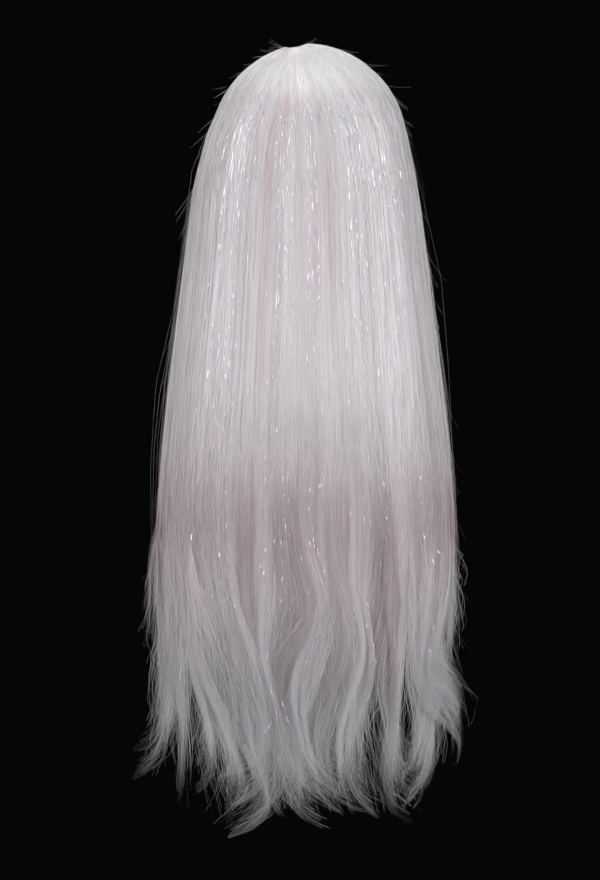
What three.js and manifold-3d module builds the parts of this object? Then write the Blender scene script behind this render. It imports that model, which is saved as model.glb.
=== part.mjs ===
// Long straight lace wig: a stretch cap with a lace front, and long pale hair that parts on top, lies over the cap
// and hangs down the back and beside the face.
// Millimetres. +X is to the wearer's right, +Y the way the wearer faces and +Z up.
// The origin is where the crown of the head meets the inside of the cap.

import * as THREE from "three";
import { mergeVertices } from "three/addons/utils/BufferGeometryUtils.js";
import Module from "manifold-3d";

// Cap, fitted to the upper half of a head that is close to an ellipsoid
const HEAD = { halfWidth: 77, halfDepth: 97, halfHeight: 104 };
const CAP_WALL = 1.4;
const CAP_COLUMNS = 36;
const CAP_ROWS = 7;
// Level of the cap's edge by the angle from the nape round to the forehead, the same on both sides
const CAP_EDGE = [
  { angle: 0, level: -168 },
  { angle: 25, level: -166 },
  { angle: 50, level: -140 },
  { angle: 70, level: -118 },
  { angle: 90, level: -108 },
  { angle: 105, level: -124 },
  { angle: 120, level: -98 },
  { angle: 140, level: -74 },
  { angle: 160, level: -60 },
  { angle: 180, level: -55 },
];

// Lace front: a band behind the hairline and a tongue under the parting, seen from above
const LACE = { centreBack: 68, templeBack: 24, templeX: 66, tongueHalfWidth: 9, tongueBack: -40 };
const LACE_STEPS = 12;
const LACE_SEAM = 0.4;

// Parting: it runs from the crown to the hairline, a little to the wearer's left
const PARTING = { x: -12, crownY: -28, frontY: 92, halfWidth: 1.2 };
const CLEARANCE = 0.5;
const HAIR_LIFT = 1.5;

// Outer face of the hair over the head. Angles are in degrees from the middle of the back, positive to the right.
const DOME = { halfWidth: 98, backDepth: 117, frontDepth: 104, height: 101, equator: -89 };
const FAN_ANGLE = 60;
const FRONT_ANGLE = 140;
const SEAM_LEVEL = -118.4;
const SEAM_GAP = 0.4;
const CROWN_COLUMNS = 24;
const CROWN_STEPS = [0, 0.08, 0.18, 0.32, 0.48, 0.66, 0.84, 1];
const ROOT_SHARE = 0.3;
const ROOT_RISE = 20;
const CROWN_RELIEF = 1.2;
const FRONT_TAPER = { angle: 30, share: 0.55 };

// Outer form of the hanging hair by level, and the thickness of its backing
const FALL = [
  { level: -89, halfWidth: 98, backDepth: 117, frontDepth: 104, wall: 20 },
  { level: -118, halfWidth: 105.5, backDepth: 121, frontDepth: 103, wall: 17 },
  { level: -180, halfWidth: 113.5, backDepth: 125, frontDepth: 100, wall: 15 },
  { level: -290, halfWidth: 127.5, backDepth: 134, frontDepth: 94, wall: 15 },
  { level: -380, halfWidth: 137.5, backDepth: 140, frontDepth: 92, wall: 15 },
  { level: -480, halfWidth: 142.5, backDepth: 135, frontDepth: 90, wall: 14 },
  { level: -600, halfWidth: 140, backDepth: 131, frontDepth: 88, wall: 8 },
  { level: -740, halfWidth: 136, backDepth: 138, frontDepth: 86, wall: 6 },
];
const FALL_STEPS = [0, 0.13, 0.26, 0.4, 0.54, 0.68, 0.84, 1];
const COLUMNS_PER_LOCK = 3;
const LOCK_RELIEF = 2.2;
// Lower edge of the backing: its level in the middle of the back and at the sides, and its rise between locks
const HEM = { centre: -656, side: -606, rise: 38, turnFrom: 45, turnTo: 85 };
const BACK_ANGLE = 88.6;
const BACK_LOCK_COUNT = 16;
const SIDE_ANGLE = 89.4;
const SIDE_LOCK_COUNT = 4;

// Free ends of the back locks: x at the root and at four steps down to the tip, the tip's level, the lock's width,
// and how far it lies outside its neighbours
const LOCK_ROOT = -480;
const LOCK_FRACTIONS = [0, 0.32, 0.58, 0.82, 1];
const BACK_LOCKS = [
  { root: -133.9, sway: -129.1, bend: -132, curl: -137, tip: -158.9, drop: -692, width: 14, over: 0 },
  { root: -126.2, sway: -122.4, bend: -123.4, curl: -121.4, tip: -109, drop: -716, width: 20, over: 0 },
  { root: -116.6, sway: -115.7, bend: -114.7, curl: -107, tip: -96.5, drop: -711, width: 18, over: -3 },
  { root: -122, sway: -111.8, bend: -92.6, curl: -74.4, tip: -49.4, drop: -736, width: 18, over: 4 },
  { root: -76.3, sway: -67.7, bend: -55.2, curl: -34, tip: -53.3, drop: -741, width: 40, over: 0 },
  { root: -44.6, sway: -40.8, bend: -35, curl: -26.4, tip: -13, drop: -731, width: 36, over: 1 },
  { root: 0.5, sway: 9.1, bend: -17.8, curl: -14.9, tip: -6.2, drop: -720, width: 24, over: 4 },
  { root: 13.9, sway: 15.8, bend: -1.4, curl: -1.4, tip: 4.3, drop: -714, width: 22, over: 1 },
  { root: 33, sway: 38, bend: 26.4, curl: 14.9, tip: 44.6, drop: -718, width: 30, over: 2 },
  { root: 45.6, sway: 48.5, bend: 42.7, curl: 37, tip: 51.4, drop: -715, width: 20, over: 0 },
  { root: 58, sway: 60, bend: 54.2, curl: 50.4, tip: 74.4, drop: -721, width: 20, over: 0 },
  { root: 79.2, sway: 82, bend: 82, curl: 78.2, tip: 110.9, drop: -731, width: 28, over: 3 },
  { root: 96.5, sway: 98.4, bend: 105, curl: 116.6, tip: 94.6, drop: -715, width: 18, over: 0 },
  { root: 114.7, sway: 120.5, bend: 119.5, curl: 111.8, tip: 98.4, drop: -690, width: 24, over: 2 },
  { root: 129, sway: 131, bend: 128, curl: 150, tip: 147, drop: -668, width: 14, over: 2 },
  { root: 134.9, sway: 133.9, bend: 127.2, curl: 119.5, tip: 113.8, drop: -685, width: 18, over: 0 },
];
// Free ends of the locks beside the face: angle at the root, how far bend and tip turn to the front, level of the tip
const SIDE_LOCKS = [
  { angle: 96, bend: 1, tip: -3, drop: -642, width: 22 },
  { angle: 108, bend: -1, tip: 2, drop: -656, width: 20 },
  { angle: 120, bend: 2, tip: 4, drop: -638, width: 20 },
  { angle: 132, bend: 0, tip: -3, drop: -622, width: 16 },
];
// Half width and half thickness of a lock along its free end, as a share of its width and in millimetres
const LOCK_SECTIONS = [
  { along: 0, share: 0.4, halfThickness: 2.5 },
  { along: 0.18, share: 0.48, halfThickness: 4 },
  { along: 0.36, share: 0.52, halfThickness: 5 },
  { along: 0.54, share: 0.54, halfThickness: 5 },
  { along: 0.7, share: 0.46, halfThickness: 4.4 },
  { along: 0.86, share: 0.3, halfThickness: 3 },
  { along: 1, share: 0.08, halfThickness: 1.2 },
];
const LOCK_SIDES = 8;
const EDGE_SINE = 0.94;

const wasm = await Module();
wasm.setup();

const radians = THREE.MathUtils.degToRad;
const mix = THREE.MathUtils.lerp;

/** Value of a table's column at a key, on a smooth curve through the rows. */
function readTable(rows, key, column, at) {
  const last = rows.length - 1;
  const turn = Math.sign(rows[last][key] - rows[0][key]);
  const slope = (i) => {
    const before = rows[Math.max(i - 1, 0)];
    const after = rows[Math.min(i + 1, last)];
    return (after[column] - before[column]) / (after[key] - before[key]);
  };
  let i = 0;
  while (i < last - 1 && (at - rows[i + 1][key]) * turn > 0) i += 1;
  const step = rows[i + 1][key] - rows[i][key];
  const s = THREE.MathUtils.clamp((at - rows[i][key]) / step, 0, 1);
  const rise = s * s * (3 - 2 * s);
  const bend = slope(i) * s * (1 - s) * (1 - s) - slope(i + 1) * s * s * (1 - s);
  return mix(rows[i][column], rows[i + 1][column], rise) + bend * step;
}

/** Geometry of a closed body from points and triangles, turned so that its faces point outwards. */
function closedGeometry(points, triangles) {
  const cross = new THREE.Vector3();
  const volumeOf = ([a, b, c]) => points[a].dot(cross.crossVectors(points[b], points[c]));
  const volume = triangles.reduce((sum, triangle) => sum + volumeOf(triangle), 0);
  const faces = volume < 0 ? triangles.map(([a, b, c]) => [a, c, b]) : triangles;
  const geometry = new THREE.BufferGeometry();
  geometry.setAttribute("position", new THREE.Float32BufferAttribute(points.flatMap((p) => p.toArray()), 3));
  geometry.setIndex(faces.flat());
  return geometry;
}

/** Closed body between an outer and an inner grid of points, with walls along all four edges. */
function bodyBetween(outer, inner) {
  const rows = outer.length;
  const columns = outer[0].length;
  const at = (side, row, column) => (side * rows + row) * columns + column;
  const triangles = [];
  const quad = (a, b, c, d) => triangles.push([a, b, c], [a, c, d]);
  const lastRow = rows - 1;
  const lastColumn = columns - 1;
  for (let r = 0; r < lastRow; r += 1) {
    for (let c = 0; c < lastColumn; c += 1) {
      quad(at(0, r, c), at(0, r + 1, c), at(0, r + 1, c + 1), at(0, r, c + 1));
      quad(at(1, r, c), at(1, r, c + 1), at(1, r + 1, c + 1), at(1, r + 1, c));
    }
    quad(at(0, r, 0), at(1, r, 0), at(1, r + 1, 0), at(0, r + 1, 0));
    quad(at(0, r, lastColumn), at(0, r + 1, lastColumn), at(1, r + 1, lastColumn), at(1, r, lastColumn));
  }
  for (let c = 0; c < lastColumn; c += 1) {
    quad(at(0, 0, c), at(0, 0, c + 1), at(1, 0, c + 1), at(1, 0, c));
    quad(at(0, lastRow, c), at(1, lastRow, c), at(1, lastRow, c + 1), at(0, lastRow, c + 1));
  }
  return closedGeometry([...outer.flat(), ...inner.flat()], triangles);
}

/** Solid that can be joined and cut, from a geometry. */
function solidOf(geometry) {
  const bare = geometry.clone();
  bare.deleteAttribute("normal");
  bare.deleteAttribute("uv");
  const merged = mergeVertices(bare, 1e-4);
  const vertProperties = new Float32Array(merged.attributes.position.array);
  const triVerts = new Uint32Array(merged.index.array);
  return new wasm.Manifold(new wasm.Mesh({ numProp: 3, vertProperties, triVerts }));
}

/** Geometry of a joined or cut solid. */
function geometryOf(solid) {
  const mesh = solid.getMesh();
  const geometry = new THREE.BufferGeometry();
  geometry.setAttribute("position", new THREE.Float32BufferAttribute(mesh.vertProperties, 3));
  geometry.setIndex(Array.from(mesh.triVerts));
  return geometry;
}

/** Point on the head's ellipsoid grown by an offset; the polar angle starts at the crown. */
function headPoint(angle, polar, offset) {
  const sine = Math.sin(polar);
  return new THREE.Vector3(
    (HEAD.halfWidth + offset) * sine * Math.sin(angle),
    -(HEAD.halfDepth + offset) * sine * Math.cos(angle),
    (HEAD.halfHeight + offset) * Math.cos(polar) - HEAD.halfHeight,
  );
}

/** Whole shell over the head, before the lace is set into it. */
function headShell() {
  const points = [headPoint(0, 0, CAP_WALL), headPoint(0, 0, 0)];
  const at = (side, row, column) => 2 + (side * CAP_ROWS + row) * CAP_COLUMNS + (column % CAP_COLUMNS);
  for (const offset of [CAP_WALL, 0]) {
    for (let r = 1; r <= CAP_ROWS; r += 1) {
      for (let c = 0; c < CAP_COLUMNS; c += 1) {
        const turn = (360 * c) / CAP_COLUMNS;
        const level = readTable(CAP_EDGE, "angle", "level", Math.min(turn, 360 - turn));
        const edge = Math.acos(level / HEAD.halfHeight + 1);
        points.push(headPoint(radians(turn), (edge * r) / CAP_ROWS, offset));
      }
    }
  }
  const triangles = [];
  const quad = (a, b, c, d) => triangles.push([a, b, c], [a, c, d]);
  for (let c = 0; c < CAP_COLUMNS; c += 1) {
    triangles.push([0, at(0, 0, c), at(0, 0, c + 1)], [1, at(1, 0, c + 1), at(1, 0, c)]);
    for (let r = 0; r < CAP_ROWS - 1; r += 1) {
      quad(at(0, r, c), at(0, r + 1, c), at(0, r + 1, c + 1), at(0, r, c + 1));
      quad(at(1, r, c), at(1, r, c + 1), at(1, r + 1, c + 1), at(1, r + 1, c));
    }
    const rim = CAP_ROWS - 1;
    quad(at(0, rim, c), at(1, rim, c), at(1, rim, c + 1), at(0, rim, c + 1));
  }
  return solidOf(closedGeometry(points, triangles));
}

/** Upright block over the lace's outline seen from above, grown by a margin. */
function laceBlock(margin) {
  const side = HEAD.halfWidth * 1.2;
  const front = HEAD.halfDepth * 1.2;
  const bandBack = (x) => mix(LACE.centreBack, LACE.templeBack, (x / LACE.templeX) ** 2) - margin;
  const tongue = LACE.tongueHalfWidth + margin;
  const outline = [new THREE.Vector2(side, front), new THREE.Vector2(-side, front)];
  const along = (from, to) => {
    for (let i = 0; i <= LACE_STEPS; i += 1) {
      const x = mix(from, to, i / LACE_STEPS);
      outline.push(new THREE.Vector2(x, bandBack(x)));
    }
  };
  along(-side, PARTING.x - tongue);
  outline.push(new THREE.Vector2(PARTING.x - tongue, LACE.tongueBack - margin));
  outline.push(new THREE.Vector2(PARTING.x + tongue, LACE.tongueBack - margin));
  along(PARTING.x + tongue, side);
  const depth = 2 * HEAD.halfHeight;
  const block = new THREE.ExtrudeGeometry(new THREE.Shape(outline), { depth, bevelEnabled: false });
  block.translate(0, 0, CAP_WALL * 2 - depth);
  return solidOf(block);
}

/** Direction in the dome's own scale where the hair of an angle leaves the parting. */
function rootDirection(angle) {
  const reach = THREE.MathUtils.clamp((Math.abs(angle) - FAN_ANGLE) / (FRONT_ANGLE - FAN_ANGLE), 0, 1);
  const y = mix(PARTING.crownY, PARTING.frontY, reach);
  const sideways = (PARTING.x + Math.sign(angle) * PARTING.halfWidth) / DOME.halfWidth;
  const forward = y / (y < 0 ? DOME.backDepth : DOME.frontDepth);
  return new THREE.Vector3(sideways, forward, Math.sqrt(1 - sideways ** 2 - forward ** 2));
}

/** Point on the outer dome of the hair, a fraction of the way from the parting to the equator. */
function domePoint(angle, fraction) {
  const from = rootDirection(angle);
  const to = new THREE.Vector3(Math.sin(radians(angle)), -Math.cos(radians(angle)), 0);
  const arc = from.angleTo(to);
  from.multiplyScalar(Math.sin((1 - fraction) * arc));
  const way = from.addScaledVector(to, Math.sin(fraction * arc)).divideScalar(Math.sin(arc));
  const depth = way.y < 0 ? DOME.backDepth : DOME.frontDepth;
  return new THREE.Vector3(way.x * DOME.halfWidth, way.y * depth, DOME.equator + way.z * DOME.height);
}

/** Point on the hanging hair, set in from its outer face. */
function fallPoint(angle, level, inset) {
  const width = readTable(FALL, "level", "halfWidth", level) - inset;
  const side = Math.abs(angle) < 90 ? "backDepth" : "frontDepth";
  const depth = readTable(FALL, "level", side, level) - inset;
  return new THREE.Vector3(width * Math.sin(radians(angle)), -depth * Math.cos(radians(angle)), level);
}

/** The nearest point towards the middle of the head that is just clear of the cap. */
function onCap(point) {
  const offset = CAP_WALL + HAIR_LIFT;
  const middle = new THREE.Vector3(0, 0, -HEAD.halfHeight);
  const axes = new THREE.Vector3(HEAD.halfWidth + offset, HEAD.halfDepth + offset, HEAD.halfHeight + offset);
  const way = point.clone().sub(middle).divide(axes).normalize();
  return way.multiply(axes).add(middle);
}

/** How much of the full thickness the hair has this near the front edge. */
function frontShare(angle) {
  const inward = THREE.MathUtils.smoothstep(FRONT_ANGLE - Math.abs(angle), 0, FRONT_TAPER.angle);
  return mix(FRONT_TAPER.share, 1, inward);
}

/** Hair that lies over one half of the cap, from the parting down to the seam with the hanging hair. */
function crownHair(side) {
  const outer = [];
  const inner = [];
  const levels = [(DOME.equator + SEAM_LEVEL) / 2, SEAM_LEVEL + SEAM_GAP];
  for (let row = 0; row < CROWN_STEPS.length + levels.length; row += 1) {
    const fraction = CROWN_STEPS[Math.min(row, CROWN_STEPS.length - 1)];
    const outerRow = [];
    const innerRow = [];
    for (let column = 0; column <= CROWN_COLUMNS; column += 1) {
      const angle = side * Math.max((FRONT_ANGLE * column) / CROWN_COLUMNS, 0.01);
      const inset = column % 2 === 1 ? CROWN_RELIEF * fraction : 0;
      const hanging = row >= CROWN_STEPS.length;
      const full = hanging ? fallPoint(angle, levels[row - CROWN_STEPS.length], inset) : domePoint(angle, fraction);
      const base = onCap(full);
      const reach = THREE.MathUtils.smoothstep(full.distanceTo(domePoint(angle, 0)), 0, ROOT_RISE);
      const share = mix(ROOT_SHARE, 1, reach) * mix(frontShare(angle), 1, fraction);
      const thickness = full.distanceTo(base);
      const shift = new THREE.Vector3((side * CLEARANCE) / 2, 0, 0);
      const outerPoint = base.clone().lerp(full, share * (hanging ? 1 : 1 - inset / thickness));
      outerRow.push(outerPoint.add(shift));
      innerRow.push(base.lerp(full, (1 - frontShare(angle)) * fraction).add(shift));
    }
    outer.push(outerRow);
    inner.push(innerRow);
  }
  return bodyBetween(outer, inner);
}

/** Level of the backing's lower edge at the middle of a lock. */
function hemLevel(angle) {
  return mix(HEM.centre, HEM.side, THREE.MathUtils.smoothstep(Math.abs(angle), HEM.turnFrom, HEM.turnTo));
}

/** Backing of the hanging hair between two angles, grooved between its locks, with a stepped hem. */
function fallBacking(fromAngle, toAngle, lockCount) {
  const outer = [];
  const inner = [];
  const columns = lockCount * COLUMNS_PER_LOCK;
  for (const step of FALL_STEPS) {
    const outerRow = [];
    const innerRow = [];
    for (let column = 0; column <= columns; column += 1) {
      const angle = mix(fromAngle, toAngle, column / columns);
      const groove = column % COLUMNS_PER_LOCK === 0;
      const level = mix(SEAM_LEVEL, hemLevel(angle) + (groove ? HEM.rise : 0), step);
      const wall = readTable(FALL, "level", "wall", level) * frontShare(angle);
      const relief = groove ? Math.min(LOCK_RELIEF, wall / 3) : 0;
      outerRow.push(fallPoint(angle, level, relief));
      innerRow.push(fallPoint(angle, level, wall));
    }
    outer.push(outerRow);
    inner.push(innerRow);
  }
  return solidOf(bodyBetween(outer, inner));
}

/** Lock swept along its path with a flattened round section. */
function lockSolid(path, width) {
  const points = [];
  const triangles = [];
  for (const section of LOCK_SECTIONS) {
    const middle = path.getPoint(section.along);
    const tangent = path.getTangent(section.along);
    const outward = new THREE.Vector3(middle.x, middle.y, 0).normalize();
    const across = new THREE.Vector3().crossVectors(outward, tangent).normalize();
    const through = new THREE.Vector3().crossVectors(tangent, across);
    for (let i = 0; i < LOCK_SIDES; i += 1) {
      const turn = (2 * Math.PI * i) / LOCK_SIDES;
      const point = middle.clone().addScaledVector(across, Math.cos(turn) * width * section.share);
      points.push(point.addScaledVector(through, Math.sin(turn) * section.halfThickness));
    }
  }
  const last = (LOCK_SECTIONS.length - 1) * LOCK_SIDES;
  for (let i = 0; i < LOCK_SIDES; i += 1) {
    const next = (i + 1) % LOCK_SIDES;
    for (let ring = 0; ring < last; ring += LOCK_SIDES) {
      triangles.push([ring + i, ring + next, ring + LOCK_SIDES + next]);
      triangles.push([ring + i, ring + LOCK_SIDES + next, ring + LOCK_SIDES + i]);
    }
    if (i > 0 && next > 0) triangles.push([0, next, i], [last, last + i, last + next]);
  }
  return solidOf(closedGeometry(points, triangles));
}

/** Path of a back lock, laid on the hanging hair at the widths of its row. */
function backLockPath(lock) {
  const stops = [lock.root, lock.sway, lock.bend, lock.curl, lock.tip];
  const points = stops.map((x, i) => {
    const level = mix(LOCK_ROOT, lock.drop, LOCK_FRACTIONS[i]);
    const wall = readTable(FALL, "level", "wall", level);
    const halfWidth = readTable(FALL, "level", "halfWidth", level);
    const inset = wall / 2 - lock.over * LOCK_FRACTIONS[i];
    const sine = THREE.MathUtils.clamp(x / (halfWidth - inset), -EDGE_SINE, EDGE_SINE);
    const depth = readTable(FALL, "level", "backDepth", level) - inset;
    const onFace = sine * (halfWidth - inset);
    return new THREE.Vector3(mix(onFace, x, LOCK_FRACTIONS[i]), -depth * Math.sqrt(1 - sine * sine), level);
  });
  return new THREE.CatmullRomCurve3(points);
}

/** Path of a lock beside the face. */
function sideLockPath(lock, side) {
  const turns = [0, lock.bend / 2, lock.bend, lock.tip / 2, lock.tip];
  const points = turns.map((turn, i) => {
    const level = mix(LOCK_ROOT, lock.drop, LOCK_FRACTIONS[i]);
    const angle = lock.angle + turn;
    const wall = readTable(FALL, "level", "wall", level) * frontShare(angle);
    return fallPoint(side * angle, level, wall / 2);
  });
  return new THREE.CatmullRomCurve3(points);
}

/** Hair that hangs down the back, its locks fused to one backing. */
function backFall() {
  const backing = fallBacking(-BACK_ANGLE, BACK_ANGLE, BACK_LOCK_COUNT);
  return geometryOf(BACK_LOCKS.reduce((hair, lock) => hair.add(lockSolid(backLockPath(lock), lock.width)), backing));
}

/** Hair that hangs beside the face on one side, its locks fused to one backing. */
function sideFall(side) {
  const backing = fallBacking(side * SIDE_ANGLE, side * FRONT_ANGLE, SIDE_LOCK_COUNT);
  const addLock = (hair, lock) => hair.add(lockSolid(sideLockPath(lock, side), lock.width));
  return geometryOf(SIDE_LOCKS.reduce(addLock, backing));
}

const wig = new THREE.Group();

/** Adds one named piece with its own material to the wig. */
function addPiece(name, geometry, finish) {
  const piece = new THREE.Mesh(geometry, new THREE.MeshStandardMaterial({ metalness: 0, ...finish }));
  piece.name = name;
  wig.add(piece);
}

const CAP_FINISH = { color: 0xd8d0ca, roughness: 0.85 };
const LACE_FINISH = { color: 0xe9dfd8, roughness: 0.8 };
const HAIR_FINISH = { color: 0xcfcacd, roughness: 0.38 };

const shell = headShell();
addPiece("cap", geometryOf(shell.subtract(laceBlock(LACE_SEAM))), CAP_FINISH);
addPiece("lace_front", geometryOf(shell.intersect(laceBlock(0))), LACE_FINISH);
addPiece("crown_hair_left", crownHair(-1), HAIR_FINISH);
addPiece("crown_hair_right", crownHair(1), HAIR_FINISH);
addPiece("back_fall", backFall(), HAIR_FINISH);
addPiece("left_fall", sideFall(-1), HAIR_FINISH);
addPiece("right_fall", sideFall(1), HAIR_FINISH);

export default wig;
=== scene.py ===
"""Long straight lace wig: pale strands with tinsel over a net cap with a lace front, in a plain studio."""

import logging
from dataclasses import dataclass, field
from enum import Enum
from typing import NamedTuple

import bpy
import numpy as np
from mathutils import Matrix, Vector


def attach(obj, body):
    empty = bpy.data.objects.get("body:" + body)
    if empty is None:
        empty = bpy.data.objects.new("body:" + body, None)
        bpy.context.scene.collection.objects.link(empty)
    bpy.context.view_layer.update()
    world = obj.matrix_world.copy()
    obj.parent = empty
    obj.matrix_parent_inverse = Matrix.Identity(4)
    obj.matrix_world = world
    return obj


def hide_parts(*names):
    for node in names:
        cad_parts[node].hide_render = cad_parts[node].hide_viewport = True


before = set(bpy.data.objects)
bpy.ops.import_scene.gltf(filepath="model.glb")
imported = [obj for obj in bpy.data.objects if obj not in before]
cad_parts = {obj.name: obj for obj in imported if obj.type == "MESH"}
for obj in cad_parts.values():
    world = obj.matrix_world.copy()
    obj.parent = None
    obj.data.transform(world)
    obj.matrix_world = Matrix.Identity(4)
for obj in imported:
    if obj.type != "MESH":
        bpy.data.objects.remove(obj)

Array = np.ndarray
Span = tuple[float, float]
Point = tuple[float, float, float]
Colour = tuple[float, float, float, float]

LOG = logging.getLogger("wig")
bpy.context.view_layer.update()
BODY = "root"
MM = 0.001
TINY = 1e-9


class Side(Enum):
    """Side of the wearer, as the sign of X."""

    LEFT = -1
    RIGHT = 1


class Layer(Enum):
    """Where a strand starts: at the parting, on a weft row of the cap, or loose on the outside."""

    TOP = "top"
    WEFT = "weft"
    LOOSE = "loose"


class Slot(Enum):
    """Slot of the part's finishes."""

    CAP_NET = "cap_net"
    LACE = "lace"
    HAIR = "hair"


# Maths on arrays


def ease(low: float, high: float, value: Array) -> Array:
    """Smooth rise from 0 at low to 1 at high."""
    s = np.clip((value - low) / (high - low), 0.0, 1.0)
    return s * s * (3.0 - 2.0 * s)


def mix(a: Array | float, b: Array | float, share: Array | float) -> Array:
    """Value a share of the way from a to b."""
    return a + (b - a) * share


def unit(vectors: Array) -> Array:
    """Vectors scaled to length 1."""
    return vectors / np.maximum(np.linalg.norm(vectors, axis=-1, keepdims=True), TINY)


def column(rows: tuple[NamedTuple, ...], name: str) -> Array:
    """Named column of a table."""
    return np.array([getattr(row, name) for row in rows], float)


def through(keys: Array, values: Array, at: Array) -> Array:
    """Smooth curve through points with rising keys.

    Args:
        keys: Rising positions of the points.
        values: Values at the keys, along the last axis.
        at: Positions to read, with the leading shape of the values.

    Returns:
        The curve's values, in the shape of the positions.
    """
    keys = np.asarray(keys, float)
    values = np.broadcast_to(np.asarray(values, float), at.shape[:-1] + (len(keys),))
    slopes = np.gradient(values, keys, axis=-1)
    i = np.clip(np.searchsorted(keys, at) - 1, 0, len(keys) - 2)
    step = keys[i + 1] - keys[i]
    s = np.clip((at - keys[i]) / step, 0.0, 1.0)
    left, right = np.take_along_axis(values, i, -1), np.take_along_axis(values, i + 1, -1)
    rise, fall = np.take_along_axis(slopes, i, -1), np.take_along_axis(slopes, i + 1, -1)
    bend = rise * s * (1.0 - s) ** 2 - fall * s * s * (1.0 - s)
    return mix(left, right, s * s * (3.0 - 2.0 * s)) + bend * step


# Shader expressions


class Wire:
    """Output socket that takes part in Python expressions, each of which adds a Math node."""

    def __init__(self, graph: "Graph", socket: bpy.types.NodeSocket | None) -> None:
        """Takes an output socket.

        Args:
            graph: Material that the socket's node belongs to.
            socket: The socket, or None for a node without outputs.
        """
        self.graph = graph
        self.socket = socket

    def math(self, operation: str, *values: "Wire | float") -> "Wire":
        """Math node on these values."""
        return self.graph.node("ShaderNodeMath", {"operation": operation}, dict(enumerate(values)))

    def __add__(self, other: "Wire | float") -> "Wire":
        """Sum."""
        return self.math("ADD", self, other)

    __radd__ = __add__

    def __sub__(self, other: "Wire | float") -> "Wire":
        """Difference."""
        return self.math("SUBTRACT", self, other)

    def __rsub__(self, other: float) -> "Wire":
        """Difference from a number."""
        return self.math("SUBTRACT", other, self)

    def __mul__(self, other: "Wire | float") -> "Wire":
        """Product."""
        return self.math("MULTIPLY", self, other)

    __rmul__ = __mul__

    def clamped(self) -> "Wire":
        """The value kept between 0 and 1."""
        return self.math("MAXIMUM", self.math("MINIMUM", self, 1.0), 0.0)


@dataclass(frozen=True)
class Grain:
    """Noise in an object's own space, with its stretch along the axes."""

    scale: float
    detail: float
    stretch: Point = (1.0, 1.0, 1.0)


class Graph:
    """Material made of nodes."""

    MIX_SHARE = 0
    MIX_FIRST = 6
    MIX_SECOND = 7
    MIX_RESULT = 2

    def __init__(self, name: str) -> None:
        """Starts an empty material.

        Args:
            name: Name of the material.
        """
        self.material = bpy.data.materials.new(name)
        self.material.use_nodes = True
        self.tree = self.material.node_tree
        self.tree.nodes.clear()

    def node(
        self,
        kind: str,
        settings: dict[str, object] | None = None,
        inputs: dict[str | int, "Wire | object"] | None = None,
        output: str | int = 0,
    ) -> Wire:
        """Adds one node.

        Args:
            kind: Blender's name of the node type.
            settings: Properties of the node, set first.
            inputs: Wires to link, or values to set, by socket.
            output: Socket that the returned wire starts from.

        Returns:
            The wire from the node's output.
        """
        made = self.tree.nodes.new(kind)
        for name, value in (settings or {}).items():
            setattr(made, name, value)
        for key, value in (inputs or {}).items():
            if isinstance(value, Wire):
                self.tree.links.new(value.socket, made.inputs[key])
            else:
                made.inputs[key].default_value = value
        return Wire(self, made.outputs[output] if len(made.outputs) else None)

    def attribute(self, name: str) -> Wire:
        """Number stored on the mesh's points."""
        return self.node("ShaderNodeAttribute", {"attribute_name": name}, output="Fac")

    def colours(self, share: Wire | float, first: "Wire | Colour", second: "Wire | Colour") -> Wire:
        """Mixes two colours.

        Args:
            share: How much of the second colour there is.
            first: Colour at 0.
            second: Colour at 1.

        Returns:
            The wire with the mixed colour.
        """
        settings = {"data_type": "RGBA", "clamp_factor": True}
        inputs = {self.MIX_SHARE: share, self.MIX_FIRST: first, self.MIX_SECOND: second}
        return self.node("ShaderNodeMix", settings, inputs, output=self.MIX_RESULT)

    def noise(self, grain: Grain) -> Wire:
        """Noise in the object's own space.

        Args:
            grain: The noise's scale, detail and stretch.

        Returns:
            The wire with the noise, from 0 to 1.
        """
        place = self.node("ShaderNodeTexCoord", output="Object")
        moved = self.node("ShaderNodeVectorMath", {"operation": "MULTIPLY"}, {0: place, 1: grain.stretch})
        inputs = {"Vector": moved, "Scale": grain.scale, "Detail": grain.detail}
        return self.node("ShaderNodeTexNoise", None, inputs)

    def ripple(self, grain: Grain, depth: float) -> Wire:
        """Noise that rises and falls about 0."""
        return (self.noise(grain) - 0.5) * depth

    def finish(self, sockets: dict[str, "Wire | object"]) -> bpy.types.Material:
        """Ends the material with its surface.

        Args:
            sockets: Wires to link, or values to set, by the surface's socket.

        Returns:
            The finished material.
        """
        shader = self.node("ShaderNodeBsdfPrincipled", None, sockets)
        self.node("ShaderNodeOutputMaterial", None, {"Surface": shader})
        return self.material


# Finishes


@dataclass(frozen=True)
class HairFinish:
    """Silky synthetic hair that runs from silver white to lilac grey, with pink strands."""

    white: Colour = (0.84, 0.83, 0.845, 1.0)
    grey: Colour = (0.38, 0.36, 0.372, 1.0)
    pink: Colour = (0.68, 0.44, 0.505, 1.0)
    streaks: Grain = Grain(260.0, 2.0, (1.0, 1.0, 0.06))
    streak_depth: float = 0.12
    fibres: Grain = Grain(1600.0, 1.0, (1.0, 1.0, 0.01))
    fibre_depth: float = 0.14
    roughness: float = 0.34
    rough_spread: float = 0.12
    refraction: float = 1.55
    shine: float = 0.6

    def material(self) -> bpy.types.Material:
        """Builds the material.

        Returns:
            The material of all hair.
        """
        graph = Graph("hair_fibre")
        streaks = graph.ripple(self.streaks, self.streak_depth)
        fibres = graph.ripple(self.fibres, self.fibre_depth)
        # The tone attribute holds each strand's paleness with painted light and shade in it.
        tone = (graph.attribute("tone") + streaks + fibres).clamped()
        pale = graph.colours(tone, self.grey, self.white)
        colour = graph.colours(graph.attribute("pink"), pale, self.pink)
        roughness = self.roughness + (1.0 - tone) * self.rough_spread
        sockets = {"Base Color": colour, "Roughness": roughness}
        return graph.finish({**sockets, "IOR": self.refraction, "Specular IOR Level": self.shine})


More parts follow.
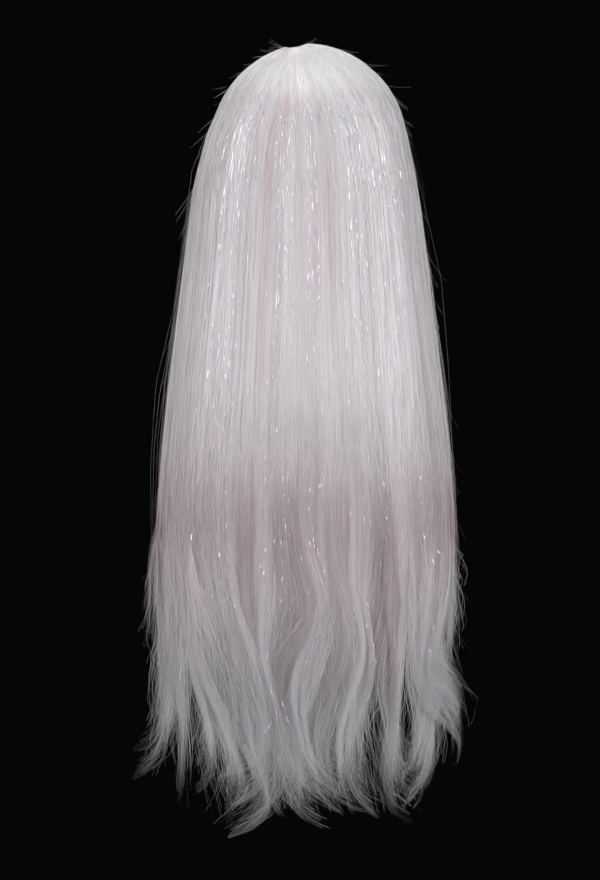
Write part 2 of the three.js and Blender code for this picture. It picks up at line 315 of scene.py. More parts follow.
@dataclass(frozen=True)
class TinselFinish:
    """Shiny film cut into threads, from silver to lilac and teal."""

    silver: Colour = (0.97, 0.95, 0.91, 1.0)
    lilac: Colour = (0.80, 0.62, 0.86, 1.0)
    teal: Colour = (0.52, 0.86, 0.84, 1.0)
    drift: Grain = Grain(30.0, 1.0, (1.0, 1.0, 0.6))
    tint_gain: float = 2.4
    tint_start: float = 0.8
    roughness: float = 0.12
    rough_spread: float = 0.1
    metal: float = 0.2
    coat: float = 1.0

    def material(self) -> bpy.types.Material:
        """Builds the material.

        Returns:
            The material of the tinsel.
        """
        graph = Graph("tinsel_film")
        drift = graph.noise(self.drift)
        tint = graph.colours((drift * self.tint_gain - self.tint_start).clamped(), self.lilac, self.teal)
        colour = graph.colours(graph.attribute("tone"), tint, self.silver)
        roughness = self.roughness + drift * self.rough_spread
        sockets = {"Base Color": colour, "Roughness": roughness}
        return graph.finish({**sockets, "Metallic": self.metal, "Coat Weight": self.coat})


@dataclass(frozen=True)
class NetFinish:
    """Knitted elastic net of the cap, with painted shade in its holes."""

    thread: Colour = (0.66, 0.60, 0.55, 1.0)
    hole_shade_and_wear: Colour = (0.36, 0.32, 0.30, 1.0)
    pitch: float = 480.0
    thread_gain: float = 4.0
    wear: Grain = Grain(60.0, 3.0)
    wear_start: float = 0.35
    wear_gain: float = 0.5
    relief: float = 0.6
    relief_height: float = 0.0005
    roughness: float = 0.8
    thread_polish: float = 0.15

    def material(self) -> bpy.types.Material:
        """Builds the material.

        Returns:
            The material of the cap.
        """
        graph = Graph("cap_net")
        place = graph.node("ShaderNodeTexCoord", output="Object")
        inputs = {"Vector": place, "Scale": self.pitch}
        cells = graph.node("ShaderNodeTexVoronoi", {"feature": "DISTANCE_TO_EDGE"}, inputs)
        thread = 1.0 - (cells * self.thread_gain).clamped()
        wear = (graph.noise(self.wear) - self.wear_start) * self.wear_gain
        # The holes of the net are painted dark as painted shade; wear darkens threads towards the same
        # colour.
        colour = graph.colours(thread, self.hole_shade_and_wear, graph.colours(wear, self.thread, self.hole_shade_and_wear))
        relief = {"Strength": self.relief, "Distance": self.relief_height, "Height": thread}
        bump = graph.node("ShaderNodeBump", None, relief, "Normal")
        roughness = self.roughness - thread * self.thread_polish
        return graph.finish({"Base Color": colour, "Roughness": roughness, "Normal": bump})


@dataclass(frozen=True)
class ThreadFinish:
    """Fine pale thread of the lace."""

    light: Colour = (0.80, 0.73, 0.68, 1.0)
    dark: Colour = (0.62, 0.54, 0.49, 1.0)
    cloud: Grain = Grain(900.0, 2.0)
    roughness: float = 0.55
    rough_spread: float = 0.2

    def material(self) -> bpy.types.Material:
        """Builds the material.

        Returns:
            The material of the lace.
        """
        graph = Graph("lace_thread")
        cloud = graph.noise(self.cloud)
        colour = graph.colours(cloud, self.dark, self.light)
        return graph.finish({"Base Color": colour, "Roughness": self.roughness + cloud * self.rough_spread})


@dataclass(frozen=True)
class FloorFinish:
    """Plain pale studio floor."""

    pale: Colour = (0.78, 0.78, 0.79, 1.0)
    shade: Colour = (0.72, 0.72, 0.73, 1.0)
    cloud: Grain = Grain(3.0, 2.0)
    roughness: float = 0.7

    def material(self) -> bpy.types.Material:
        """Builds the material.

        Returns:
            The material of the floor.
        """
        graph = Graph("studio_floor")
        colour = graph.colours(graph.noise(self.cloud), self.pale, self.shade)
        return graph.finish({"Base Color": colour, "Roughness": self.roughness})


# Form of the hair


class FallRow(NamedTuple):
    """Outer form of the hanging hair at one depth below the crown, in millimetres."""

    depth: float
    half_width: float
    back: float
    front: float


FALL = (
    FallRow(89, 98, 117, 104),
    FallRow(118, 105.5, 121, 103),
    FallRow(180, 113.5, 125, 100),
    FallRow(290, 127.5, 134, 94),
    FallRow(380, 137.5, 140, 92),
    FallRow(480, 142.5, 135, 90),
    FallRow(600, 140, 131, 88),
    FallRow(740, 136, 138, 86),
)


class EdgeRow(NamedTuple):
    """Depth of the cap's edge below the crown by the angle from the nape, in degrees and millimetres."""

    angle: float
    depth: float


CAP_EDGE = (
    EdgeRow(0, 168),
    EdgeRow(25, 166),
    EdgeRow(50, 140),
    EdgeRow(70, 118),
    EdgeRow(90, 108),
    EdgeRow(105, 124),
    EdgeRow(120, 98),
    EdgeRow(140, 74),
    EdgeRow(160, 60),
    EdgeRow(180, 55),
)


@dataclass(frozen=True)
class HeadForm:
    """Ellipsoid of the head under the cap, in millimetres, with its top at the origin."""

    axes: tuple[float, float, float] = (77.0, 97.0, 104.0)
    cap_wall: float = 1.4

    def point(self, angle: Array, polar: Array, offset: float) -> Array:
        """Points on the head grown by an offset.

        Args:
            angle: Degrees from the nape, positive to the wearer's right.
            polar: Radians down from the crown.
            offset: Growth of the ellipsoid.

        Returns:
            Points with the coordinates along the last axis.
        """
        turn, wide = np.radians(angle), np.sin(polar)
        x = (self.axes[0] + offset) * wide * np.sin(turn)
        y = -(self.axes[1] + offset) * wide * np.cos(turn)
        z = (self.axes[2] + offset) * np.cos(polar) - self.axes[2]
        return np.stack(np.broadcast_arrays(x, y, z), axis=-1)

    def polar_at(self, depth: Array) -> Array:
        """Angle from the crown down to a depth."""
        return np.arccos(np.clip(1.0 - depth / self.axes[2], -1.0, 1.0))

    def edge_polar(self, angle: Array) -> Array:
        """Angle from the crown down to the cap's edge."""
        turned = np.abs((angle + 180.0) % 360.0 - 180.0)
        return self.polar_at(through(column(CAP_EDGE, "angle"), column(CAP_EDGE, "depth"), turned))

    def under(self, points: Array, offset: float) -> Array:
        """Moves points towards the middle of the head until they are an offset off it.

        Args:
            points: Points outside the head.
            offset: How far off the head they end.

        Returns:
            The moved points.
        """
        middle = np.array((0.0, 0.0, -self.axes[2]))
        axes = np.array(self.axes) + offset
        return unit((points - middle) / axes) * axes + middle


@dataclass(frozen=True)
class LaceShape:
    """Outline of the lace seen from above, in millimetres."""

    centre_back: float = 68.0
    temple_back: float = 24.0
    temple_x: float = 66.0
    tongue_x: float = -12.0
    tongue_half: float = 9.0
    tongue_back: float = -40.0
    search_to: float = 2.4
    search_steps: int = 600

    def back_line(self, x: Array) -> Array:
        """Where the band along the hairline ends behind."""
        return mix(self.centre_back, self.temple_back, (x / self.temple_x) ** 2)

    def inside(self, points: Array) -> Array:
        """Finds the points on the band or on the tongue under the parting.

        Args:
            points: Points on the head.

        Returns:
            Whether each point lies on the lace.
        """
        x, y = points[..., 0], points[..., 1]
        tongue = (np.abs(x - self.tongue_x) < self.tongue_half) & (y > self.tongue_back)
        return tongue | (y > self.back_line(x))

    def seam_polar(self, head: HeadForm, angle: Array) -> Array:
        """Finds the seam between the cap and the band.

        Args:
            head: The head under the cap.
            angle: Degrees from the nape.

        Returns:
            Angle from the crown down to the seam, or half a turn where there is none.
        """
        polar = np.linspace(0.0, self.search_to, self.search_steps)
        points = head.point(angle[..., None], polar, 0.0)
        behind = points[..., 1] <= self.back_line(points[..., 0])
        return np.where(behind.all(axis=-1), np.pi, polar[np.argmin(behind, axis=-1)])


@dataclass(frozen=True)
class HairForm:
    """Outer form of the hair, in millimetres and in degrees from the middle of the back."""

    head: HeadForm = HeadForm()
    half_width: float = 98.0
    back: float = 117.0
    front: float = 104.0
    height: float = 101.0
    equator: float = -89.0
    part_x: float = -12.0
    part_half: float = 1.2
    crown_y: float = -28.0
    front_y: float = 92.0
    fan_angle: float = 60.0
    front_angle: float = 140.0
    root_share: float = 0.6
    root_rise: float = 14.0
    front_share: float = 0.55
    front_taper: float = 30.0
    left_tuck: float = 6.5
    tuck_rise: float = 0.3
    tuck_side: float = 0.35
    clear: float = 0.6
    least_lift: float = 0.05

    def crown(self, angle: Array, fraction: Array, inset: Array, shift: Array) -> Array:
        """Points over the head on the way from the parting to the widest level.

        Args:
            angle: Where the strand hangs, one row a strand.
            fraction: Shares of the way, one row a strand.
            inset: Depth under the outer face.
            shift: How far the root lies along the parting from its usual place.

        Returns:
            Points in the shape of the fractions, with the coordinates along the last axis.
        """
        reach = np.clip((np.abs(angle) - self.fan_angle) / (self.front_angle - self.fan_angle), 0.0, 1.0)
        y = np.minimum(mix(self.crown_y, self.front_y, reach) + shift, self.front_y)
        apart = self.part_half * ease(0.0, self.fan_angle, np.abs(angle))
        side = (self.part_x + np.sign(angle) * apart) / self.half_width
        ahead = y / np.where(y < 0.0, self.back, self.front)
        start = np.stack((side, ahead, np.sqrt(1.0 - side**2 - ahead**2)), axis=-1)
        turn = np.radians(angle)
        end = np.stack((np.sin(turn), -np.cos(turn), 0.0 * turn), axis=-1)
        arc = np.arccos(np.clip(np.sum(start * end, axis=-1), -1.0, 1.0))[..., None]
        share = fraction[..., None]
        way = (np.sin((1.0 - share) * arc) * start + np.sin(share * arc) * end) / np.sin(arc)
        full = way * (self.half_width, 1.0, self.height)
        full[..., 1] *= np.where(way[..., 1] < 0.0, self.back, self.front)
        tuck = ease(0.0, self.tuck_rise, way[..., 2]) * ease(0.0, self.tuck_side, -way[..., 0])
        full[..., 0] += self.left_tuck * tuck
        full[..., 2] += self.equator
        base = self.head.under(full, self.head.cap_wall + self.clear)
        thickness = np.linalg.norm(full - base, axis=-1)
        run = fraction * arc[..., 0] * self.half_width
        thin = mix(self.front_share, 1.0, ease(0.0, self.front_taper, self.front_angle - np.abs(angle)))
        lift = mix(self.root_share, 1.0, ease(0.0, self.root_rise, run)) * mix(thin, 1.0, fraction)
        lift = lift * np.clip(1.0 - inset / thickness, self.least_lift, None)
        return base + (full - base) * lift[..., None]

    def hang(self, angle: Array, level: Array, inset: Array) -> Array:
        """Points on the hanging hair, set in from its outer face.

        Args:
            angle: Degrees from the middle of the back.
            level: Height of each point.
            inset: Depth under the outer face.

        Returns:
            Points with the coordinates along the last axis.
        """
        depths, names = column(FALL, "depth"), ("half_width", "back", "front")
        wide, back, front = (through(depths, column(FALL, name), -level) for name in names)
        turn = np.radians(angle)
        deep = np.where(np.cos(turn) > 0.0, back, front)
        x = (wide - inset) * np.sin(turn)
        y = -(deep - inset) * np.cos(turn)
        return np.stack(np.broadcast_arrays(x, y, level), axis=-1)

    def half_width_at(self, level: Array) -> Array:
        """Half width of the hanging hair."""
        return through(column(FALL, "depth"), column(FALL, "half_width"), -level)


# Locks


class BackLock(NamedTuple):
    """Free end of a lock on the back, in millimetres: x on the way down, the tip's level, and how it lies."""

    hang: float
    sag: float
    sway: float
    bend: float
    fall: float
    curl: float
    tip: float
    drop: float
    over: float
    full: float


BACK_LOCKS = (
    BackLock(-140, -143, -147, -151, -153, -154, -153, -565, 0, 0.3),
    BackLock(-135, -132, -131, -132, -135, -143, -160, -693, 0, 0.9),
    BackLock(-128, -126, -124, -123, -122, -118, -109, -712, 0, 0.9),
    BackLock(-118, -114, -108, -101, -90, -88, -100, -699, 6, 0.9),
    BackLock(-124, -119, -109, -93, -80, -67, -51, -733, 5, 1.0),
    BackLock(-105, -101, -96, -86, -75, -65, -57, -720, -3, 0.8),
    BackLock(-90, -85, -78, -67, -55, -47, -42, -721, -2, 0.8),
    BackLock(-74, -71, -64, -52, -39, -32, -55, -742, 1, 1.0),
    BackLock(-58, -55, -50, -42, -33, -30, -44, -737, 0, 1.0),
    BackLock(-42, -41, -38, -33, -27, -22, -11, -732, 1, 1.0),
    BackLock(-27, -25, -24, -24, -22, -21, -24, -714, -1, 1.0),
    BackLock(-13, -5, 6, -19, -18, -14, -7, -721, 4, 1.0),
    BackLock(-1, 2, 13, -5, -11, -8, -1, -716, 2, 1.0),
    BackLock(12, 14, 17, 1, -3, 0, 6, -717, 1, 0.9),
    BackLock(25, 30, 35, 26, 17, 19, 47, -719, 3, 1.0),
    BackLock(36, 39, 41, 34, 27, 27, 36, -716, 0, 0.9),
    BackLock(47, 48, 48, 44, 41, 44, 52, -718, 1, 0.9),
    BackLock(58, 59, 59, 53, 49, 56, 75, -724, 1, 0.9),
    BackLock(69, 70, 70, 69, 66, 63, 60, -652, -2, 0.5),
    BackLock(80, 81, 82, 80, 77, 84, 113, -733, 4, 1.0),
    BackLock(90, 92, 93, 89, 83, 82, 92, -722, 0, 0.9),
    BackLock(99, 101, 103, 109, 117, 111, 93, -716, 1, 0.9),
    BackLock(111, 114, 117, 120, 121, 117, 105, -700, 2, 0.9),
    BackLock(126, 124, 117, 110, 115, 145, 139, -678, 2, 1.0),
    BackLock(135, 135, 130, 121, 114, 112, 110, -690, 0, 0.8),
)


class SideLock(NamedTuple):
    """Free end of a lock beside the face: its angle, its turns forwards, and its tip's level by side."""

    angle: float
    sway: float
    tip: float
    left_drop: float
    right_drop: float
    full: float


SIDE_LOCKS = (
    SideLock(81, 0.5, -5.0, -664, -572, 0.7),
    SideLock(90, -1.5, -7.0, -650, -560, 0.7),
    SideLock(99, 1.0, 3.0, -652, -590, 0.9),
    SideLock(108, -1.0, 2.0, -662, -630, 0.9),
    SideLock(117, 1.5, 4.0, -644, -650, 0.9),
    SideLock(126, 0.0, -3.0, -650, -640, 0.9),
    SideLock(135, -1.0, -5.0, -624, -630, 0.8),
)


@dataclass
class LockField:
    """All locks as arrays of angle and outward reach along their free ends, each lock split into wisps."""

    form: HairForm
    root: float = -430.0
    stops: tuple[float, ...] = (0.0, 0.23, 0.42, 0.6, 0.74, 0.87, 1.0)
    edge_sine: float = 0.955
    root_sine: float = 0.996
    flow_spread: float = 3.5
    turns: float = 10.5
    sway_size: Span = (0.8, 2.8)
    sway_rise: Span = (0.1, 0.5)
    phase_step: float = 0.07
    phase_play: float = 0.9
    wisps: int = 3
    wisp_short: float = 0.22
    wisp_aside: float = 0.3
    wisp_lift: Span = (-0.8, 1.2)
    wisp_flick: float = 2.5
    lock_flick: float = 6.0
    flick_size: float = 2.3
    hook_size: float = 17.0
    hook_most: float = 1.2
    over_play: float = 1.2
    lock_light_play: float = 0.28
    seed: int = 5

    def __post_init__(self) -> None:
        """Lays out all locks."""
        self.shares = np.array(self.stops)
        self.add_back()
        for side in Side:
            self.add_side(side)
        self.vary()

    def add_back(self) -> None:
        """Starts the arrays with the locks on the back."""
        across = np.array([row[: len(self.stops)] for row in BACK_LOCKS], float)
        self.drop = column(BACK_LOCKS, "drop")
        wide = self.form.half_width_at(mix(self.root, self.drop[:, None], self.shares))
        edge = mix(self.root_sine, self.edge_sine, self.shares)
        sine = np.clip(across / wide, -edge, edge)
        self.angle = np.degrees(np.arcsin(sine))
        self.out = np.maximum(across / np.where(sine == 0.0, 1.0, sine) - wide, 0.0)
        self.over = column(BACK_LOCKS, "over")
        self.full = column(BACK_LOCKS, "full")
        self.last_step = across[:, -1] - across[:, -2]

    def add_side(self, side: Side) -> None:
        """Adds the locks beside the face on one side.

        Args:
            side: The side.
        """
        turns = column(SIDE_LOCKS, "sway")[:, None] * np.sin(self.shares * np.pi)
        turns = turns + column(SIDE_LOCKS, "tip")[:, None] * self.shares**2
        self.angle = np.vstack((self.angle, side.value * (column(SIDE_LOCKS, "angle")[:, None] + turns)))
        self.out = np.vstack((self.out, np.zeros_like(turns)))
        drop = "left_drop" if side is Side.LEFT else "right_drop"
        self.drop = np.append(self.drop, column(SIDE_LOCKS, drop))
        self.over = np.append(self.over, np.zeros(len(SIDE_LOCKS)))
        self.full = np.append(self.full, column(SIDE_LOCKS, "full"))
        self.last_step = np.append(self.last_step, np.zeros(len(SIDE_LOCKS)))

    def vary(self) -> None:
        """Draws what differs from lock to lock and from wisp to wisp."""
        random, count = np.random.default_rng(self.seed), len(self.drop)
        self.sway = random.uniform(*self.sway_size, (count, 1))
        play = random.uniform(-self.phase_play, self.phase_play, (count, 1))
        self.phase = self.phase_step * self.angle[:, :1] + play
        order = np.argsort(self.angle[:, 0])
        self.half = np.empty(count)
        self.half[order] = 0.5 * np.gradient(self.angle[order, 0])
        shape = (count, self.wisps)
        short = random.uniform(0.0, self.wisp_short, shape)
        self.length = 1.0 - short + short.min(axis=1, keepdims=True)
        self.aside = random.normal(0.0, self.wisp_aside, shape)
        flick = random.normal(0.0, self.lock_flick, (count, 1))
        self.flick = flick + random.normal(0.0, self.wisp_flick, shape)
        self.lift = random.uniform(*self.wisp_lift, shape)
        aside = np.abs(self.last_step[:, None] + self.flick * self.flick_size)
        self.hook = np.clip(aside / self.hook_size, 0.0, self.hook_most)
        self.over = self.over + random.uniform(-self.over_play, self.over_play, count)
        # Painted light and shade on whole locks: a random shift of paleness per lock, for lit crests and
        # shaded hollows.
        self.tone = random.normal(0.0, self.lock_light_play, (count, 1))

    def nearest(self, angle: Array) -> Array:
        """Index of the lock whose root is nearest to each angle."""
        return np.argmin(np.abs(angle[:, None] - self.angle[None, :, 0]), axis=1)

    def along(self, angle: Array, lock: Array, hold: Array, beside: Array, fraction: Array) -> Array:
        """Angle of each strand on its way down, between the common flow and its own lock.

        Args:
            angle: Where the strand hangs above the locks, one a strand.
            lock: Index of the lock, one a strand.
            hold: How far the lock holds the strand, one row a strand.
            beside: How far the strand lies beside the middle of the lock, one row a strand.
            fraction: Shares of the way from the lock's root to its tip, one row a strand.

        Returns:
            Angle at each share.
        """
        near = self.weights(angle)
        sideways = near @ (self.angle - self.angle[:, :1])
        flowing = angle[:, None] + through(self.shares, sideways, fraction)
        sway = self.sway[lock] * np.sin(fraction * self.turns + self.phase[lock])
        sway = sway * ease(*self.sway_rise, fraction)
        held = through(self.shares, self.angle[lock], fraction) + beside + sway
        return mix(flowing, held, hold)

    def weights(self, angle: Array) -> Array:
        """Shares of the locks round each angle in the common flow."""
        near = np.exp(-0.5 * ((angle[:, None] - self.angle[None, :, 0]) / self.flow_spread) ** 2)
        return near / near.sum(axis=1, keepdims=True)

    def reach(
        self, angle: Array, lock: Array, hold: Array, shape: Array, fraction: Array
    ) -> tuple[Array, Array]:
        """How far out and how far down each strand is.

        Args:
            angle: Where the strand hangs above the locks, one a strand.
            lock: Index of the lock, one a strand.
            hold: How far the lock holds the strand, one row a strand.
            shape: Shares of the lock's shape, one row a strand.
            fraction: Shares of the way down, one row a strand.

        Returns:
            The outward reach and the level.
        """
        out = through(self.shares, self.out[lock], shape) * hold
        drop = mix((self.weights(angle) @ self.drop)[:, None], self.drop[lock][:, None], hold)
        return out, mix(self.root, drop, fraction)


# Strands


@dataclass
class Strands:
    """Paths of strands of one kind, in millimetres, with the values that colour them and paint light and
    shade on them.
    """

    path: Array
    half: Array
    turn: Array
    tone: Array
    pink: Array


class PinkRow(NamedTuple):
    """Streak of pink strands: where it hangs, its half width in degrees, its depth of colour, its levels."""

    angle: float
    spread: float
    depth: float
    top: float
    bottom: float


PINK_STREAKS = (
    PinkRow(-12.5, 2.4, 0.8, -30, -90),
    PinkRow(-12.0, 1.5, 0.5, -190, -330),
    PinkRow(-19.0, 2.2, 0.5, -60, -330),
    PinkRow(-6.0, 1.2, 0.45, -20, -90),
    PinkRow(5.0, 2.2, 0.45, -70, -260),
    PinkRow(12.5, 2.0, 0.4, -100, -290),
    PinkRow(25.0, 1.5, 0.45, -140, -290),
    PinkRow(37.0, 1.5, 0.4, -90, -230),
    PinkRow(-38.0, 2.2, 0.35, -200, -420),
    PinkRow(-3.5, 1.6, 0.5, -390, -560),
    PinkRow(4.5, 1.4, 0.75, -380, -520),
    PinkRow(-22.0, 2.2, 0.45, -380, -560),
    PinkRow(34.0, 2.4, 0.5, -420, -600),
    PinkRow(48.0, 2.0, 0.35, -380, -520),
    PinkRow(62.0, 2.0, 0.3, -260, -460),
    PinkRow(-60.0, 2.0, 0.3, -260, -520),
)


class BlushAndLightRow(NamedTuple):
    """Share of pink in all strands, and painted light and shade as paleness, at one depth below the crown in
    millimetres.
    """

    depth: float
    share: float
    pale: float


# The pale column is painted light and shade in bands by depth: a painted highlight high on the crown, and
# painted shade lower down where the hair turns in.
BLUSH_AND_LIGHT = (
    BlushAndLightRow(-20, 0.03, 0.05),
    BlushAndLightRow(12, 0.05, 0.2),
    BlushAndLightRow(42, 0.07, -0.12),
    BlushAndLightRow(100, 0.13, -0.17),
    BlushAndLightRow(186, 0.13, 0.03),
    BlushAndLightRow(280, 0.13, 0.05),
    BlushAndLightRow(330, 0.14, 0.17),
    BlushAndLightRow(385, 0.2, 0.08),
    BlushAndLightRow(430, 0.32, -0.24),
    BlushAndLightRow(450, 0.36, -0.36),
    BlushAndLightRow(483, 0.3, -0.14),
    BlushAndLightRow(522, 0.24, 0.12),
    BlushAndLightRow(560, 0.16, -0.08),
    BlushAndLightRow(600, 0.09, -0.33),
    BlushAndLightRow(640, 0.05, -0.1),
    BlushAndLightRow(690, 0.02, -0.02),
    BlushAndLightRow(760, 0.0, 0.35),
)


class WaveRow(NamedTuple):
    """Wave down the hair: its size, its length in millimetres, and what shifts it, in radians."""

    size: float
    length: float
    by_angle: float
    by_strand: float
    start: float

    def at(self, level: Array, angle: Array, phase: Array | float) -> Array:
        """Height of the wave at a level, on a strand with its own phase."""
        shift = self.by_angle * angle + self.by_strand * phase + self.start
        return self.size * np.sin(level / self.length + shift)


TURN_WAVES = (
    WaveRow(0.55, 52.0, 0.16, 0.0, 0.0),
    WaveRow(0.35, 31.0, -0.09, 0.0, 1.3),
    WaveRow(0.22, 24.0, 0.0, 6.3, 0.0),
    WaveRow(0.16, 57.0, 0.0, 15.0, 0.0),
)
SWING = WaveRow(3.0, 29.0, 0.12, 1.0, 0.0)
# The first three waves are painted light and shade of soft folds running down the hair; the last is each
# strand's own slow change of tone.
FOLD_LIGHT_AND_TONE_WAVES = (
    WaveRow(0.06, 160.0, 0.42, 0.0, 0.0),
    WaveRow(0.05, -110.0, 0.19, 0.0, 2.0),
    WaveRow(0.05, 210.0, 0.93, 0.0, 0.7),
    WaveRow(0.05, 47.0, 0.0, 1.0, 0.0),
)


@dataclass(frozen=True)
class LayerHabit:
    """How the strands of one layer are laid, cut, held and spread.

    Attributes:
        half: Half width of a strand in millimetres.
        slim: Share of its length where it starts to taper.
        lag: Shift of its swing in radians.
        inset: Least depth under the outer face in millimetres.
        inset_clump: Further depth of the deepest clump.
        inset_power: How much rarer deep clumps are.
        inset_play: Spread of the depth in a clump.
        longest: Length of the longest strands, as a share of the lock.
        short: How much shorter the shortest strands are.
        held: Range of how far a lock holds a clump at its root.
        firm: How far it holds a strand at its tip.
        late: Share of the way where that hold starts to grow.
        spread: Sideways play of the free ends in degrees.
    """

    half: float
    slim: float
    lag: float
    inset: float
    inset_clump: float
    inset_power: float
    inset_play: float
    longest: float
    short: float
    held: Span
    firm: float
    late: float
    spread: float


HABITS = {
    Layer.TOP: LayerHabit(0.12, 0.45, 0.0, 0.3, 0.6, 2.0, 0.15, 1.0, 0.32, (0.7, 1.2), 1.0, 0.15, 0.5),
    Layer.WEFT: LayerHabit(0.27, 0.5, 1.6, 1.2, 4.0, 1.0, 0.4, 0.9, 0.5, (0.0, 0.5), 0.7, 0.5, 0.8),
    Layer.LOOSE: LayerHabit(0.08, 0.4, 3.0, -0.3, 0.0, 1.0, 0.0, 1.0, 0.25, (0.0, 1.0), 0.3, 0.3, 4.0),
}


@dataclass(frozen=True)
class DyeAndPaintedLight:
    """How pale and how pink each strand is on its way down, with painted light and shade in its paleness."""

    base: float = 0.76
    clump_play: float = 0.06
    strand_play: float = 0.1
    phase_play: float = 6.3
    low_gain: float = 1.7
    low_rise: Span = (380.0, 560.0)
    lock_light_rise: Span = (380.0, 520.0)
    weft_shade: float = 0.1
    blush_play: Span = (0.5, 1.5)
    odd_middle: float = -0.25
    odd_spread: float = 0.2
    odd_most: float = 0.5
    streak_fade: float = 25.0
    streak_play: Span = (0.5, 1.1)
    streak_shade: float = 0.35
    parting_spot: Point = (-22.0, -27.0, 6.0)
    parting_spot_reach: float = 5.5
    parting_spot_darkening: float = 0.5

    def apply(
        self, groom: "Groom", layer: Layer, angle: Array, path: Array, each: int
    ) -> tuple[Array, Array]:
        """Colours the strands of one layer and paints light and shade into their paleness.

        Args:
            groom: The groom that combs them.
            layer: Where the strands start.
            angle: Where each strand hangs.
            path: Their points.
            each: Strands in a clump.

        Returns:
            Paleness and pinkness at each point.
        """
        random, count = groom.random, len(angle)
        level, hung, depths = path[..., 2], angle[:, None], column(BLUSH_AND_LIGHT, "depth")
        clump = np.repeat(random.normal(0.0, self.clump_play, (count // each, 1)), each, axis=0)
        phase = random.uniform(0.0, self.phase_play, (count, 1))
        # Painted light and shade of soft folds, and each strand's slow change of tone.
        waves = sum(wave.at(level, hung, phase) for wave in FOLD_LIGHT_AND_TONE_WAVES)
        own = random.normal(0.0, self.strand_play, (count, 1))
        own = own * mix(1.0, self.low_gain, ease(*self.low_rise, -level))
        # Painted light and shade by depth, from the pale column, go into the paleness.
        tone = self.base + clump + waves + own + through(depths, column(BLUSH_AND_LIGHT, "pale"), -level)
        # Painted light and shade on whole locks comes in along their free ends.
        tone = tone + groom.locks.tone[groom.locks.nearest(angle)] * ease(*self.lock_light_rise, -level)
        if layer is Layer.WEFT:
            tone = tone - self.weft_shade
        pink = through(depths, column(BLUSH_AND_LIGHT, "share"), -level) * random.uniform(*self.blush_play, (count, 1))
        odd = random.normal(self.odd_middle, self.odd_spread, (count, 1))
        pink = pink + np.clip(odd, 0.0, self.odd_most)
        fade = (-self.streak_fade, self.streak_fade)
        for row in PINK_STREAKS:
            near = np.exp(-(((hung - row.angle) / row.spread) ** 2))
            inside = ease(*fade, row.top - level) * ease(*fade, level - row.bottom)
            share = row.depth * near * inside * random.uniform(*self.streak_play, (count, 1))
            pink = np.maximum(pink, share)
            tone = tone - self.streak_shade * share
        # A pinker, darker spot at the parting.
        parting_spot = np.exp(-(np.linalg.norm(path - np.array(self.parting_spot), axis=-1) / self.parting_spot_reach) ** 2)
        return np.clip(tone - self.parting_spot_darkening * parting_spot, 0.0, 1.0), np.clip(pink + parting_spot, 0.0, 1.0)


